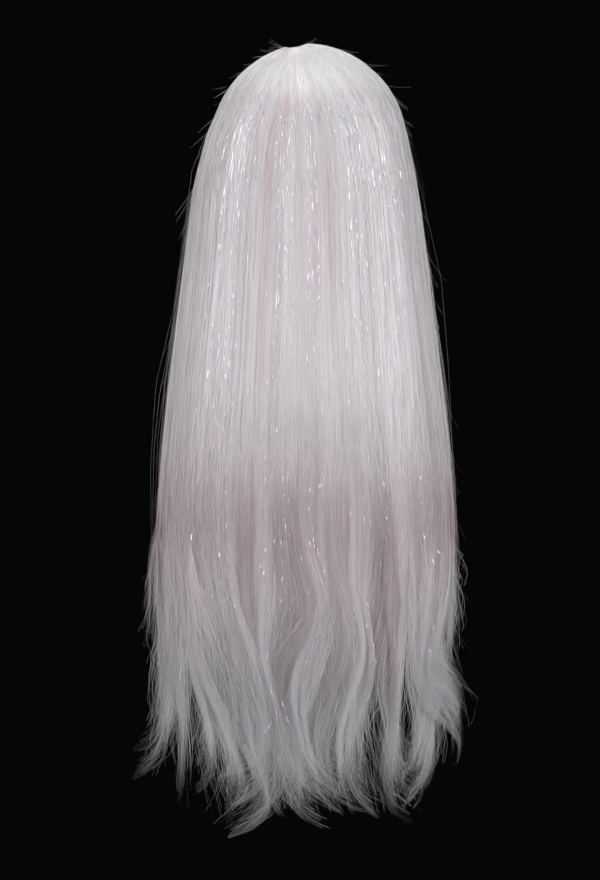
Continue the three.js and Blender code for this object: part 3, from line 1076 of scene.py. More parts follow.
@dataclass
class Groom:
    """Combs strands over the cap and down into the locks."""

    form: HairForm
    locks: LockField
    seed: int
    dye_and_light: DyeAndPaintedLight = DyeAndPaintedLight()
    crown_stops: tuple[float, ...] = (0.0, 0.06, 0.15, 0.27, 0.41, 0.57, 0.74, 0.91)
    weft_stops: tuple[float, ...] = (0.0, 0.5)
    weft_rows: tuple[float, ...] = (8.0, 26.0, 44.0)
    weft_reach: float = 60.0
    weft_top: float = -60.0
    weft_clear: float = 0.2
    middle_levels: tuple[float, ...] = (-125.0, -220.0, -310.0, -385.0)
    level_play: float = 20.0
    end_stops: tuple[float, ...] = (
        0.0, 0.13, 0.25, 0.36, 0.47, 0.57, 0.66, 0.74, 0.81, 0.87, 0.92, 0.96, 1.0,
    )
    stagger: float = 0.35
    least_angle: float = 0.05
    clump_spread: float = 0.3
    root_play: float = 0.02
    parting_play: float = 5.0
    half_play: Span = (0.7, 1.3)
    root_half: float = 0.8
    root_taper: float = 0.3
    tip_half: float = 0.1
    tilt: float = 0.07
    wave_rise: Span = (120.0, 460.0)
    swing_rise: Span = (400.0, 600.0)
    lock_play: float = 0.8
    place_most: float = 1.3
    cut_power: float = 1.1
    thin_cut: Span = (0.5, 0.95)
    shape_keep: float = 0.55
    firm_play: Span = (0.8, 1.0)
    hold_rise: float = 0.5
    draw_start: float = 0.3
    fine_least: float = 0.14
    fine_more: float = 0.56
    wisp_close: float = 0.23
    aside_start: float = 0.4
    hook_start: float = 0.82
    hook_rise: float = 28.0
    clump_drift: float = 0.7
    strand_drift: float = 0.4
    drift_rise: Span = (0.1, 0.7)
    stray_share: float = 0.25
    stray_far: float = 1.5
    stray_near: float = 0.5
    stray_rise: Span = (0.6, 1.0)
    curl_size: float = 0.5
    curl_turns: float = 7.0
    curl_start: float = 3.0
    curl_rise: Span = (0.1, 0.6)
    flick_rise: Span = (0.74, 1.03)
    relief: float = 6.0
    relief_rise: Span = (0.15, 0.7)
    over_rise: Span = (0.1, 0.5)
    tip_inset: float = 0.6
    lock_lean: float = 0.95
    wisp_lean: float = 0.3

    def __post_init__(self) -> None:
        """Starts the random draws."""
        self.random = np.random.default_rng(self.seed)

    def comb(self, layer: Layer, clump_angle: Array, each: int) -> Strands:
        """Strands of one layer.

        Args:
            layer: Where the strands start.
            clump_angle: Where each clump hangs.
            each: Strands in a clump.

        Returns:
            The strands' paths, sections and colours.
        """
        random, clumps, habit = self.random, len(clump_angle), HABITS[layer]
        count = clumps * each
        angle = np.repeat(clump_angle, each) + random.normal(0.0, self.clump_spread, count)
        angle = np.where(np.abs(angle) < self.least_angle, self.least_angle, angle)
        angle = np.clip(angle, -self.form.front_angle, self.form.front_angle)
        inset = self.insets(layer, clumps, each)
        upper = self.upper(layer, angle, inset)
        lower, lean = self.lower(layer, angle, inset, each)
        path = np.concatenate((upper, lower), axis=1)
        turn = np.concatenate((np.zeros(upper.shape[:2]), lean), axis=1)
        turn = turn + random.normal(0.0, self.tilt, (count, 1))
        steps = np.linspace(0.0, 1.0, path.shape[1])
        taper = mix(self.root_half, 1.0, ease(0.0, self.root_taper, steps))
        taper = taper * mix(1.0, self.tip_half, ease(habit.slim, 1.0, steps))
        half = (habit.half * random.uniform(*self.half_play, (count, 1)) * taper)[..., None]
        tone, pink = self.dye_and_light.apply(self, layer, angle, path, each)
        return Strands(path, half, turn, tone, pink)

    def insets(self, layer: Layer, clumps: int, each: int) -> Array:
        """Lays strands under the outer face.

        Args:
            layer: Where the strands start.
            clumps: Number of clumps.
            each: Strands in a clump.

        Returns:
            Depth of each strand.
        """
        habit, count = HABITS[layer], clumps * each
        clump = np.repeat(self.random.random(clumps), each)
        if layer is Layer.LOOSE:
            return np.full(count, habit.inset)
        play = self.random.normal(0.0, habit.inset_play, count)
        return habit.inset + habit.inset_clump * clump**habit.inset_power + play

    def staggered(self, stops: tuple[float, ...], count: int) -> Array:
        """Moves stops a little so that the bends of neighbours don't line up.

        Args:
            stops: Shares of the way where a strand has points.
            count: Number of strands.

        Returns:
            Stops of each strand, with the first and the last in place.
        """
        moved = self.random.uniform(-self.stagger, self.stagger, (count, len(stops)))
        moved = moved * np.gradient(np.array(stops))
        moved[:, 0] = 0.0
        moved[:, -1] = 0.0
        return np.array(stops) + moved

    def waves(self, layer: Layer, angle: Array, level: Array, phase: Array) -> Array:
        """Slow sideways waves of the hair.

        Args:
            layer: Where the strands start.
            angle: Where each strand hangs, one row a strand.
            level: Height of each point, one row a strand.
            phase: Each strand's own shift, one row a strand.

        Returns:
            Turn at each point, in degrees.
        """
        slow = sum(wave.at(level, angle, phase) for wave in TURN_WAVES)
        swing = SWING.at(level, angle, HABITS[layer].lag)
        return ease(*self.wave_rise, -level) * slow + ease(*self.swing_rise, -level) * swing

    def upper(self, layer: Layer, angle: Array, inset: Array) -> Array:
        """Lays strands from their roots down to where the locks begin.

        Args:
            layer: Where the strands start.
            angle: Where each strand hangs.
            inset: Depth of each strand under the outer face.

        Returns:
            The strands' points.
        """
        random, count = self.random, len(angle)
        hung, depth = angle[:, None], inset[:, None]
        play = random.uniform(-self.level_play, self.level_play, (count, len(self.middle_levels)))
        levels = np.array(self.middle_levels) + play
        if layer is Layer.WEFT:
            levels = levels[:, 1:]
        phase = random.random((count, 1))
        hanging = self.form.hang(hung + self.waves(layer, hung, levels, phase), levels, depth)
        if layer is Layer.WEFT:
            return np.concatenate((self.weft_roots(angle, inset), hanging), axis=1)
        first = np.abs(random.normal(0.0, self.root_play, (count, 1)))
        fraction = first + (1.0 - first) * self.staggered(self.crown_stops, count)
        shift = random.normal(0.0, self.parting_play, (count, 1))
        return np.concatenate((self.form.crown(hung, fraction, depth, shift), hanging), axis=1)

    def weft_roots(self, angle: Array, inset: Array) -> Array:
        """Lays strands from a row on the cap out to the hanging hair.

        Args:
            angle: Where each strand hangs.
            inset: Depth of each strand under the outer face.

        Returns:
            The strands' first points.
        """
        head, hung = self.form.head, angle[:, None]
        rows = self.random.choice(self.weft_rows, len(angle))
        edge = head.point(angle, head.edge_polar(angle), 0.0)[:, 2]
        top = np.minimum(edge + rows, self.weft_top)[:, None]
        root = head.point(hung, head.polar_at(-top), head.cap_wall + self.weft_clear)
        share = np.array(self.weft_stops)
        level = top - self.weft_reach * share
        outside = self.form.hang(hung, np.minimum(level, self.form.equator), inset[:, None])
        points = mix(root, outside, ease(0.0, 1.0, share)[None, :, None])
        points[..., 2] = level
        return points

    def cut(self, habit: LayerHabit, full: Array) -> Array:
        """Cuts strands to length.

        Args:
            habit: How the layer is cut.
            full: Share of strands that keep their length, one a strand.

        Returns:
            Length of each strand as a share of its lock.
        """
        random, count = self.random, len(full)
        own = habit.longest - habit.short * random.random(count) ** self.cut_power
        return np.where(random.random(count) < full, own, own * random.uniform(*self.thin_cut, count))

    def holding(self, habit: LayerHabit, shape: Array, each: int) -> Array:
        """How far the lock holds each strand on its way down.

        Args:
            habit: How the layer is held.
            shape: Shares of the lock's shape, one row a strand.
            each: Strands in a clump.

        Returns:
            Hold at each point.
        """
        random, count = self.random, len(shape)
        grip = np.clip(np.repeat(random.uniform(*habit.held, count // each), each), 0.0, 1.0)[:, None]
        firm = habit.firm * random.uniform(*self.firm_play, (count, 1))
        return mix(grip, np.maximum(grip, firm), ease(habit.late, habit.late + self.hold_rise, shape))

    def straying(self, habit: LayerHabit, stops: Array, shape: Array, each: int) -> Array:
        """How far clumps and strands drift and curl aside.

        Args:
            habit: How the layer spreads.
            stops: Shares of the strand, one row a strand.
            shape: Shares of the lock's shape, one row a strand.
            each: Strands in a clump.

        Returns:
            Turn at each point, in degrees.
        """
        random, count = self.random, len(stops)
        wander = np.repeat(random.normal(0.0, 1.0, (count // each, 2)), each, axis=0)
        drift = self.clump_drift * wander[:, :1] + random.normal(0.0, self.strand_drift, (count, 1))
        drift = drift * habit.spread * ease(*self.drift_rise, shape)
        stray = np.where(random.random((count, 1)) < self.stray_share, self.stray_far, self.stray_near)
        drift = drift + random.normal(0.0, 1.0, (count, 1)) * stray * ease(*self.stray_rise, shape)
        curl = np.sin(stops * self.curl_turns + self.curl_start * wander[:, :1])
        curl = curl * ease(*self.curl_rise, stops)
        return drift + wander[:, 1:] * self.curl_size * habit.spread * curl

    def lower(self, layer: Layer, angle: Array, inset: Array, each: int) -> tuple[Array, Array]:
        """Lays the free ends, drawn together into the wisps of their locks.

        Args:
            layer: Where the strands start.
            angle: Where each strand hangs.
            inset: Depth of each strand under the outer face.
            each: Strands in a clump.

        Returns:
            The points, and the sideways lean of the surface there in radians.
        """
        random, count, locks, habit = self.random, len(angle), self.locks, HABITS[layer]
        lock = locks.nearest(angle + np.repeat(random.normal(0.0, self.lock_play, count // each), each))
        half = locks.half[lock][:, None]
        place = np.clip((angle - locks.angle[lock, 0])[:, None] / half, -self.place_most, self.place_most)
        wisp = np.clip(np.floor((place[:, 0] + 1.0) * 0.5 * locks.wisps), 0, locks.wisps - 1).astype(int)
        middle = (2.0 * (wisp[:, None] + 0.5) / locks.wisps) - 1.0
        own = self.cut(habit, locks.full[lock])
        stops = self.staggered(self.end_stops, count)
        shape = stops * mix(own, 1.0, self.shape_keep)[:, None]
        hold = self.holding(habit, shape, each)
        drawn = ease(self.draw_start, 1.0, shape)
        fine = self.fine_least + self.fine_more * random.random((count, 1)) ** 2
        beside = middle * mix(1.0, self.wisp_close, drawn) + (place - middle) * mix(1.0, fine, drawn)
        beside = half * (beside + locks.aside[lock, wisp][:, None] * ease(self.aside_start, 1.0, shape))
        turn = locks.along(angle, lock, hold, beside, shape)
        out, level = locks.reach(angle, lock, hold, shape, stops * (own * locks.length[lock, wisp])[:, None])
        hooked = np.clip((shape - self.hook_start) / (1.0 - self.hook_start), 0.0, 1.0) ** 2 - shape**4
        level = level + self.hook_rise * locks.hook[lock, wisp][:, None] * hold * hooked
        turn = turn + self.straying(habit, stops, shape, each)
        turn = turn + locks.flick[lock, wisp][:, None] * ease(*self.flick_rise, shape) ** 2
        turn = turn + self.waves(layer, angle[:, None], level, random.random((count, 1)))
        groove = self.relief * ease(*self.relief_rise, shape) * place**2
        raised = ease(*self.over_rise, shape)
        over = locks.over[lock][:, None] * raised + locks.lift[lock, wisp][:, None] * drawn
        depth = inset[:, None] * mix(1.0, self.tip_inset, stops) + (groove - over) * hold - out
        lean = self.lock_lean * place * raised + self.wisp_lean * (place - middle) * locks.wisps * drawn
        return self.form.hang(turn, level, depth), -lean * hold


# Meshes of strands


@dataclass
class TubeMesh:
    """Mesh of many thin ribbons or closed tubes, each with its own small place in the texture map."""

    name: str
    columns: int = 512
    flat: bool = False
    head_height: float = 104.0
    margin: Span = (0.15, 0.02)
    end_span: Span = (0.3, 0.7)
    end_inset: float = 0.01
    sections: list[Array] = field(default_factory=list)
    shades: list[Array] = field(default_factory=list)
    values: list[dict[str, Array]] = field(default_factory=list)

    def add(
        self,
        path: Array,
        half: Array,
        sides: int,
        twist: Array | float,
        values: dict[str, Array],
        soft: float = 0.0,
        spin: float = 0.0,
    ) -> None:
        """Adds tubes along paths.

        Args:
            path: Points along each tube, in millimetres.
            half: Half width at each point, along the last axis.
            sides: Number of sides of the tubes, or 1 for flat ribbons.
            twist: Turn of the section at each point, in radians.
            values: Numbers at each point, by attribute name.
            soft: How far the shading follows the form of the hair instead of the tube.
            spin: Spread of a further turn of each ribbon that the shading doesn't follow, in radians.
        """
        tangent = unit(np.gradient(path, axis=1))
        outward = path + (0.0, 0.0, self.head_height)
        outward[..., 2] = np.maximum(outward[..., 2], 0.0)
        across = unit(np.cross(outward, tangent))
        normal = np.cross(tangent, across)
        turn = np.broadcast_to(np.asarray(twist, float), path.shape[:2])[..., None]
        first = across * np.cos(turn) + normal * np.sin(turn)
        second = normal * np.cos(turn) - across * np.sin(turn)
        if sides == 1:
            phases = np.array((0.0, np.pi))
        else:
            phases = 2.0 * np.pi * np.arange(sides + 1) / sides
        around = [first * np.cos(phase) + second * np.sin(phase) for phase in phases]
        aside = np.random.default_rng(len(path)).normal(0.0, spin, (len(path), 1, 1))
        turned = [first * np.cos(phase + aside) + second * np.sin(phase + aside) for phase in phases]
        points = [path + way * half for way in turned[: max(sides, 2)]]
        shades = []
        for k in range(sides):
            broad = np.sign(np.sin(0.5 * (phases[k] + phases[k + 1]))) * second
            shades.append(np.stack([unit(mix(way, broad, soft)) for way in around[k : k + 2]], axis=2))
        self.sections.append(np.stack(points, axis=2) * MM)
        self.shades.append(np.stack(shades, axis=2))
        self.values.append(values)

    def faces(self) -> tuple[Array, Array, Array, Array]:
        """Lists the faces of all tubes.

        Returns:
            Corner lists and face sizes, with each corner's texture place and shading direction.
        """
        corners, sizes, places, normals = [], [], [], []
        total = sum(len(s) for s in self.sections)
        lines = -(-total // self.columns)
        margin = np.array(self.margin)
        first, strand = 0, 0
        for section, shade in zip(self.sections, self.shades):
            count, steps, wide = section.shape[:3]
            sides = shade.shape[2]
            base = first + np.arange(count)[:, None] * steps * wide
            number = strand + np.arange(count)
            cell = np.stack((number % self.columns, number // self.columns), axis=-1)[:, None, None, :]
            m, k = np.meshgrid(np.arange(steps - 1), np.arange(sides), indexing="ij")
            m, k = m.ravel(), k.ravel()
            near, far = m * wide + k, m * wide + (k + 1) % wide
            quad = np.stack((near, far, far + wide, near + wide), -1)
            u = np.stack((k, k + 1, k + 1, k), -1) / sides
            v = np.stack((m, m, m + 1, m + 1), -1) / (steps - 1)
            ends = np.stack((np.arange(sides)[::-1], (steps - 1) * sides + np.arange(sides)))
            end_u = np.linspace(*self.end_span, sides)
            end_v = np.stack((np.full(sides, self.end_inset), np.full(sides, 1.0 - self.end_inset)))
            closed = [(ends, np.stack((end_u, end_u)), end_v)] if sides > 1 else []
            for shape, along_u, along_v in [(quad, u, v)] + closed:
                corners.append((base[:, :, None] + shape[None]).reshape(-1))
                sizes.append(np.full(count * len(shape), shape.shape[1]))
                inside = margin + (1.0 - 2.0 * margin) * np.stack((along_u, along_v), axis=-1)[None]
                places.append(((cell + inside) / (self.columns, lines)).reshape(-1, 2))
            above, below = shade[:, m, k], shade[:, m + 1, k]
            around = np.stack((above[:, :, 0], above[:, :, 1], below[:, :, 1], below[:, :, 0]), axis=2)
            normals.append(around.reshape(-1, 3))
            if sides > 1:
                normals.append(np.stack((shade[:, 0, ::-1, 0], shade[:, -1, :, 0]), axis=1).reshape(-1, 3))
            first += count * steps * wide
            strand += count
        return tuple(np.concatenate(parts) for parts in (corners, sizes, places, normals))

    def build(self, material: bpy.types.Material) -> bpy.types.Object:
        """Makes the object with its texture map, point values and material.

        Args:
            material: Material of the whole piece.

        Returns:
            The object, linked to the scene.
        """
        points = np.concatenate([s.reshape(-1, 3) for s in self.sections])
        corners, sizes, places, normals = self.faces()
        mesh = bpy.data.meshes.new(self.name)
        mesh.vertices.add(len(points))
        mesh.vertices.foreach_set("co", points.ravel())
        mesh.loops.add(len(corners))
        mesh.loops.foreach_set("vertex_index", corners.astype(np.int32))
        mesh.polygons.add(len(sizes))
        mesh.polygons.foreach_set("loop_start", np.concatenate(([0], np.cumsum(sizes)[:-1])).astype(np.int32))
        mesh.uv_layers.new(name="OFBake").uv.foreach_set("vector", places.astype(np.float32).ravel())
        for name in self.values[0]:
            parts = [np.repeat(v[name].ravel(), s.shape[2]) for v, s in zip(self.values, self.sections)]
            stored = mesh.attributes.new(name, "FLOAT", "POINT")
            stored.data.foreach_set("value", np.concatenate(parts).astype(np.float32))
        mesh.update(calc_edges=True)
        if not self.flat:
            mesh.shade_smooth()
            mesh.normals_split_custom_set(normals.tolist())
        mesh.materials.append(material)
        made = bpy.data.objects.new(self.name, mesh)
        bpy.context.scene.collection.objects.link(made)
        return made


def triangles(piece: bpy.types.Object) -> int:
    """Number of triangles in a piece."""
    return sum(len(p.vertices) - 2 for p in piece.data.polygons)


def join_frame(piece: bpy.types.Object, slot: Slot, *nodes: str) -> bpy.types.Object:
    """Makes a piece ride on the body and stand for CAD nodes.

    Args:
        piece: The piece.
        slot: Slot of its finish; not used.
        nodes: CAD nodes that it replaces.

    Returns:
        The piece.
    """
    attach(piece, BODY)
    if nodes:
        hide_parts(*nodes)
    LOG.info("%s: %d triangles", piece.name, triangles(piece))
    return piece


# Sub-assemblies


@dataclass
class HairPanel:
    """Hair that hangs between two angles, from its roots to the tips of its locks."""

    name: str
    low: float
    high: float
    nodes: tuple[str, ...]
    seed: int
    top_clumps: int = 880
    weft_clumps: int = 660
    top_each: int = 3
    weft_each: int = 3
    soft: float = 0.88
    spin: float = 0.2

    def angles(self, random: np.random.Generator, clumps: int) -> Array:
        """Angles of the clumps, spread evenly with some play."""
        return self.low + (self.high - self.low) * (np.arange(clumps) + random.random(clumps)) / clumps

    def build(self, form: HairForm, locks: LockField, material: bpy.types.Material) -> bpy.types.Object:
        """Builds the panel's strands as one piece.

        Args:
            form: Outer form of the hair.
            locks: All locks.
            material: Material of the hair.

        Returns:
            The piece.
        """
        groom = Groom(form, locks, self.seed)
        mesh = TubeMesh(self.name)
        top, weft = (self.top_clumps, self.top_each), (self.weft_clumps, self.weft_each)
        for layer, (clumps, each) in ((Layer.TOP, top), (Layer.WEFT, weft)):
            strands = groom.comb(layer, self.angles(groom.random, clumps), each)
            values = {"tone": strands.tone, "pink": strands.pink}
            mesh.add(strands.path, strands.half, 1, strands.turn, values, self.soft, self.spin)
        return join_frame(mesh.build(material), Slot.HAIR, *self.nodes)


@dataclass(frozen=True)
class Curls:
    """Fine hairs that curl out of the free ends, in millimetres."""

    count: int = 2000
    points: int = 13
    half: float = 0.115
    start: Span = (0.15, 0.75)
    cycles: Span = (0.3, 1.1)
    size: float = 4.5
    most: float = 8.0
    rise: float = 0.9
    ways: Span = (1.0, 0.4)

    def paths(self, groom: Groom, reach: float) -> Array:
        """Lays the curls.

        Args:
            groom: The groom that combs them.
            reach: Angle to each side where they hang.

        Returns:
            Points along each hair.
        """
        random, count = groom.random, self.count
        angle = random.uniform(-reach, reach, count)
        ends = groom.lower(Layer.LOOSE, angle, np.zeros(count), 1)[0]
        steps = np.linspace(0.0, 1.0, self.points)[None, :]
        share = mix(random.uniform(*self.start, (count, 1)), 1.0, steps)
        at = np.broadcast_to(share[:, None, :], (count, ends.shape[2], self.points))
        path = np.moveaxis(through(groom.end_stops, np.moveaxis(ends, 1, 2), at), 1, 2)
        cycles = random.uniform(*self.cycles, (count, 1, 2))
        start = random.uniform(0.0, 2.0 * np.pi, (count, 1, 2))
        swing = np.sin(2.0 * np.pi * cycles * steps[..., None] + start) - np.sin(start)
        size = np.minimum(random.exponential(self.size, (count, 1, 1)), self.most)
        path[..., :2] += size * ease(0.0, self.rise, steps)[..., None] * swing * self.ways
        return path


@dataclass(frozen=True)
class BrokenHairs:
    """Short hairs that stick out of the outside, high on the crown or low on the hanging hair."""

    count: int = 420
    points: int = 6
    half: float = 0.06
    angle: float = 88.0
    angle_spread: float = 11.0
    angle_most: float = 112.0
    low_levels: Span = (-620.0, -95.0)
    low_step: float = 5.0
    low_length: float = 1.8
    low_away: float = 0.2
    high_share: float = 0.3
    high_places: Span = (0.02, 0.94)
    high_step: float = 0.04
    high_away: float = 0.65
    length: Span = (6.0, 24.0)
    bend: float = 0.15
    aside: float = 0.25

    def paths(self, groom: Groom) -> Array:
        """Lays the hairs.

        Args:
            groom: The groom whose form they stick out of.

        Returns:
            Points along each hair.
        """
        random, form, count = groom.random, groom.form, self.count
        side = random.choice((-1.0, 1.0), (count, 1))
        angle = side * np.minimum(random.normal(self.angle, self.angle_spread, (count, 1)), self.angle_most)
        level = random.uniform(*self.low_levels, (count, 1))
        step, inset = np.array((0.0, 1.0)), np.ones((count, 2))
        fraction = random.uniform(*self.high_places, (count, 1)) + self.high_step * step
        crown = form.crown(angle, fraction, inset, 0.0 * angle)
        hang = form.hang(angle, level - self.low_step * step, inset)
        high = random.random((count, 1, 1)) < self.high_share
        both = np.where(high, crown, hang)
        root, along = both[:, :1], unit(both[:, 1:] - both[:, :1])
        outward = root + (0.0, 0.0, form.head.axes[2])
        outward[..., 2] = np.maximum(outward[..., 2], 0.0)
        outward = unit(outward)
        steps = np.linspace(0.0, 1.0, self.points)[None, :, None]
        length = random.uniform(*self.length, (count, 1, 1)) * np.where(high, 1.0, self.low_length)
        away = random.random((count, 1, 1)) * np.where(high, self.high_away, self.low_away)
        bend = random.normal(0.0, self.bend, (count, 1, 1))
        aside = np.array((0.0, 1.0, 0.0)) * random.normal(0.0, self.aside, (count, 1, 1))
        return root + length * (along * steps + outward * (away * steps + bend * steps**2) + aside * steps)


@dataclass
class LooseHairs:
    """Single hairs off the outside: long ones that come back to it, curls at the ends, and short ones."""

    curls: Curls = Curls()
    broken: BrokenHairs = BrokenHairs()
    count: int = 520
    edge_count: int = 173
    seed: int = 77
    reach: float = 138.0
    edge: float = 84.0
    edge_spread: float = 13.0
    leave: Span = (-80.0, 560.0)
    away_rise: Span = (0.0, 140.0)
    back_rise: Span = (140.0, 330.0)
    back_share: float = 0.7
    lift: float = 0.8
    lift_spread: float = 1.1
    most: float = 13.0
    crown_share: float = 0.3
    crown_fade: Span = (0.0, 160.0)
    tone: float = 0.78
    tip_half: float = 0.35

    def build(self, form: HairForm, locks: LockField, material: bpy.types.Material) -> bpy.types.Object:
        """Builds the loose hairs as one piece.

        Args:
            form: Outer form of the hair.
            locks: All locks.
            material: Material of the hair.

        Returns:
            The piece.
        """
        groom = Groom(form, locks, self.seed)
        random, mesh = groom.random, TubeMesh("hair_loose")
        strands = self.long_hairs(groom)
        twist = random.uniform(0.0, np.pi, (self.count, 1))
        mesh.add(strands.path, strands.half, 1, twist, {"tone": strands.tone, "pink": strands.pink}, 1.0)
        curls, short = self.curls.paths(groom, self.reach), self.broken.paths(groom)
        for path, half in ((curls, self.curls.half), (short, self.broken.half)):
            pale = np.full(path.shape[:2], self.tone)
            slim = half * np.linspace(1.0, self.tip_half, path.shape[1])[:, None]
            twist = random.uniform(0.0, np.pi, (len(path), 1))
            slim = np.broadcast_to(slim, path.shape[:2] + (1,))
            mesh.add(path, slim, 1, twist, {"tone": pale, "pink": 0.0 * pale}, 1.0)
        return join_frame(mesh.build(material), Slot.HAIR)

    def long_hairs(self, groom: Groom) -> Strands:
        """Combs long hairs, many of them at the sides, and lifts them off the outside for a stretch.

        Args:
            groom: The groom that combs them.

        Returns:
            The lifted strands.
        """
        random = groom.random
        side = random.choice((-1.0, 1.0), self.edge_count)
        edges = side * random.normal(self.edge, self.edge_spread, self.edge_count)
        others = random.uniform(-self.reach, self.reach, self.count - self.edge_count)
        strands = groom.comb(Layer.LOOSE, np.concatenate((edges, others)), 1)
        depth = -strands.path[..., 2]
        gone = depth - random.uniform(*self.leave, (self.count, 1))
        away = ease(*self.away_rise, gone) * (1.0 - self.back_share * ease(*self.back_rise, gone))
        far = np.minimum(random.lognormal(np.log(self.lift), self.lift_spread, (self.count, 1)), self.most)
        far = far * away * mix(self.crown_share, 1.0, ease(*self.crown_fade, depth))
        strands.path += unit(strands.path * (1.0, 1.0, 0.0)) * far[..., None]
        return strands


class TinselRow(NamedTuple):
    """Bunch of tinsel threads: where it hangs, how wide it is in degrees, and how many threads it has."""

    angle: float
    spread: float
    count: int


TINSEL_BUNCHES = (
    TinselRow(-39.0, 6.5, 20),
    TinselRow(-10.0, 4.5, 17),
    TinselRow(29.0, 5.5, 17),
    TinselRow(5.0, 5.0, 10),
    TinselRow(42.0, 4.0, 8),
    TinselRow(-66.0, 9.0, 7),
    TinselRow(66.0, 9.0, 7),
    TinselRow(-100.0, 9.0, 4),
    TinselRow(100.0, 9.0, 4),
)


@dataclass
class Tinsel:
    """Flat shiny threads among the outer hair that turn as they go and come outside here and there."""

    points: int = 192
    columns: int = 128
    half_width: float = 0.24
    tip_half: float = 0.3
    tip_rise: Span = (600.0, 690.0)
    outside: float = 0.6
    low_outside: float = 3.2
    outside_rise: Span = (380.0, 520.0)
    inside: float = -1.2
    high_share: float = 0.2
    low_share: float = 0.055
    low_play: Span = (0.0, 2.0)
    first_rise: Span = (5.0, 75.0)
    low_rise: Span = (240.0, 330.0)
    long_share: float = 0.1
    long_starts: tuple[int, int] = (95, 135)
    long_points: int = 14
    calm: float = 0.2
    turn: float = 0.45
    kink: float = 0.7
    high_kink: float = 0.15
    kink_rise: Span = (330.0, 560.0)
    low_tint: float = 0.6
    tint_rise: Span = (400.0, 560.0)
    seed: int = 31

    def build(self, form: HairForm, locks: LockField, material: bpy.types.Material) -> bpy.types.Object:
        """Builds the tinsel as one piece.

        Args:
            form: Outer form of the hair.
            locks: All locks.
            material: Material of the tinsel.

        Returns:
            The piece.
        """
        groom = Groom(form, locks, self.seed)
        random = groom.random
        angle = np.concatenate([random.normal(row.angle, row.spread, row.count) for row in TINSEL_BUNCHES])
        path = self.even(groom.comb(Layer.TOP, angle, 1).path)
        depth = -path[..., 2]
        shown, calm = self.glints(random, depth)
        kink = random.normal(0.0, 1.0, depth.shape) * calm
        kink = kink * mix(self.high_kink, self.kink, ease(*self.kink_rise, depth))
        outside = mix(self.outside, self.low_outside, ease(*self.outside_rise, depth))
        far = np.where(shown, outside, self.inside) + kink
        path = path + unit(path * (1.0, 1.0, 0.0)) * far[..., None]
        twist = random.normal(0.0, self.turn, depth.shape) * calm
        tone = random.random((len(angle), 1)) * (1.0 - self.low_tint * ease(*self.tint_rise, depth))
        half = self.half_width * mix(1.0, self.tip_half, ease(*self.tip_rise, depth))
        mesh = TubeMesh("tinsel", columns=self.columns, flat=True)
        mesh.add(path, half[..., None], 1, twist, {"tone": tone})
        return join_frame(mesh.build(material), Slot.HAIR)

    def even(self, path: Array) -> Array:
        """Gives threads many points at even steps.

        Args:
            path: Points along each thread.

        Returns:
            More points along the same threads.
        """
        coarse = np.linspace(0.0, 1.0, path.shape[1])
        lengths = np.linalg.norm(np.diff(path, axis=1), axis=-1).mean(axis=0)
        run = np.append(0.0, np.cumsum(lengths))
        steps = np.interp(np.linspace(0.0, run[-1], self.points), run, coarse)
        fine = np.broadcast_to(steps, (len(path), path.shape[2], self.points))
        return np.moveaxis(through(coarse, np.moveaxis(path, 1, 2), fine), 1, 2)

    def glints(self, random: np.random.Generator, depth: Array) -> tuple[Array, Array]:
        """Draws where threads come outside: in short runs, and on some threads in one long straight run.

        Args:
            random: The source of the draws.
            depth: Depth of each point below the crown.

        Returns:
            Whether each point is outside, and how much it may kink and twist.
        """
        count = len(depth)
        low_share = self.low_share * random.uniform(*self.low_play, (count, 1))
        share = mix(self.high_share, low_share, ease(*self.low_rise, depth)) * ease(*self.first_rise, depth)
        shown = random.random(depth.shape) < share
        shown[:, 1:] |= shown[:, :-1]
        number, first = np.arange(self.points), random.integers(*self.long_starts, (count, 1))
        chosen = random.random((count, 1)) < self.long_share
        long = chosen & (number >= first) & (number < first + self.long_points)
        return shown | long, np.where(long, self.calm, 1.0)


@dataclass
class Cap:
    """Stretch net cap with a bound edge, behind the lace."""

    head: HeadForm
    lace: LaceShape
    columns: int = 144
    rows: int = 32

    def build(self, material: bpy.types.Material) -> bpy.types.Object:
        """Builds the net shell.

        Args:
            material: Material of the net.

        Returns:
            The piece.
        """
        angle = np.linspace(0.0, 360.0, self.columns, endpoint=False)[None, :]
        share = np.linspace(0.0, 1.0, self.rows + 1)[1:, None]
        polar = share * np.minimum(self.head.edge_polar(angle), self.lace.seam_polar(self.head, angle))
        outer = self.head.point(angle, polar, self.head.cap_wall).reshape(-1, 3)
        inner = self.head.point(angle, polar, 0.0).reshape(-1, 3)
        poles = self.head.point(np.zeros(2), np.zeros(2), 0.0)
        poles[0, 2] += self.head.cap_wall
        points = np.concatenate((outer, inner, poles)) * MM
        ring, count = self.columns, self.columns * self.rows
        faces = []
        for c in range(ring):
            n = (c + 1) % ring
            faces.append((2 * count, c, n))
            faces.append((2 * count + 1, count + n, count + c))
            for r in range(self.rows - 1):
                a, b = r * ring, (r + 1) * ring
                faces.append((a + c, b + c, b + n, a + n))
                faces.append((count + a + c, count + a + n, count + b + n, count + b + c))
            rim = (self.rows - 1) * ring
            faces.append((rim + c, count + rim + c, count + rim + n, rim + n))
        mesh = bpy.data.meshes.new("cap_net")
        mesh.from_pydata(points.tolist(), [], faces)
        mesh.shade_smooth()
        mesh.materials.append(material)
        made = bpy.data.objects.new("cap_net", mesh)
        bpy.context.scene.collection.objects.link(made)
        return join_frame(made, Slot.CAP_NET, "cap")


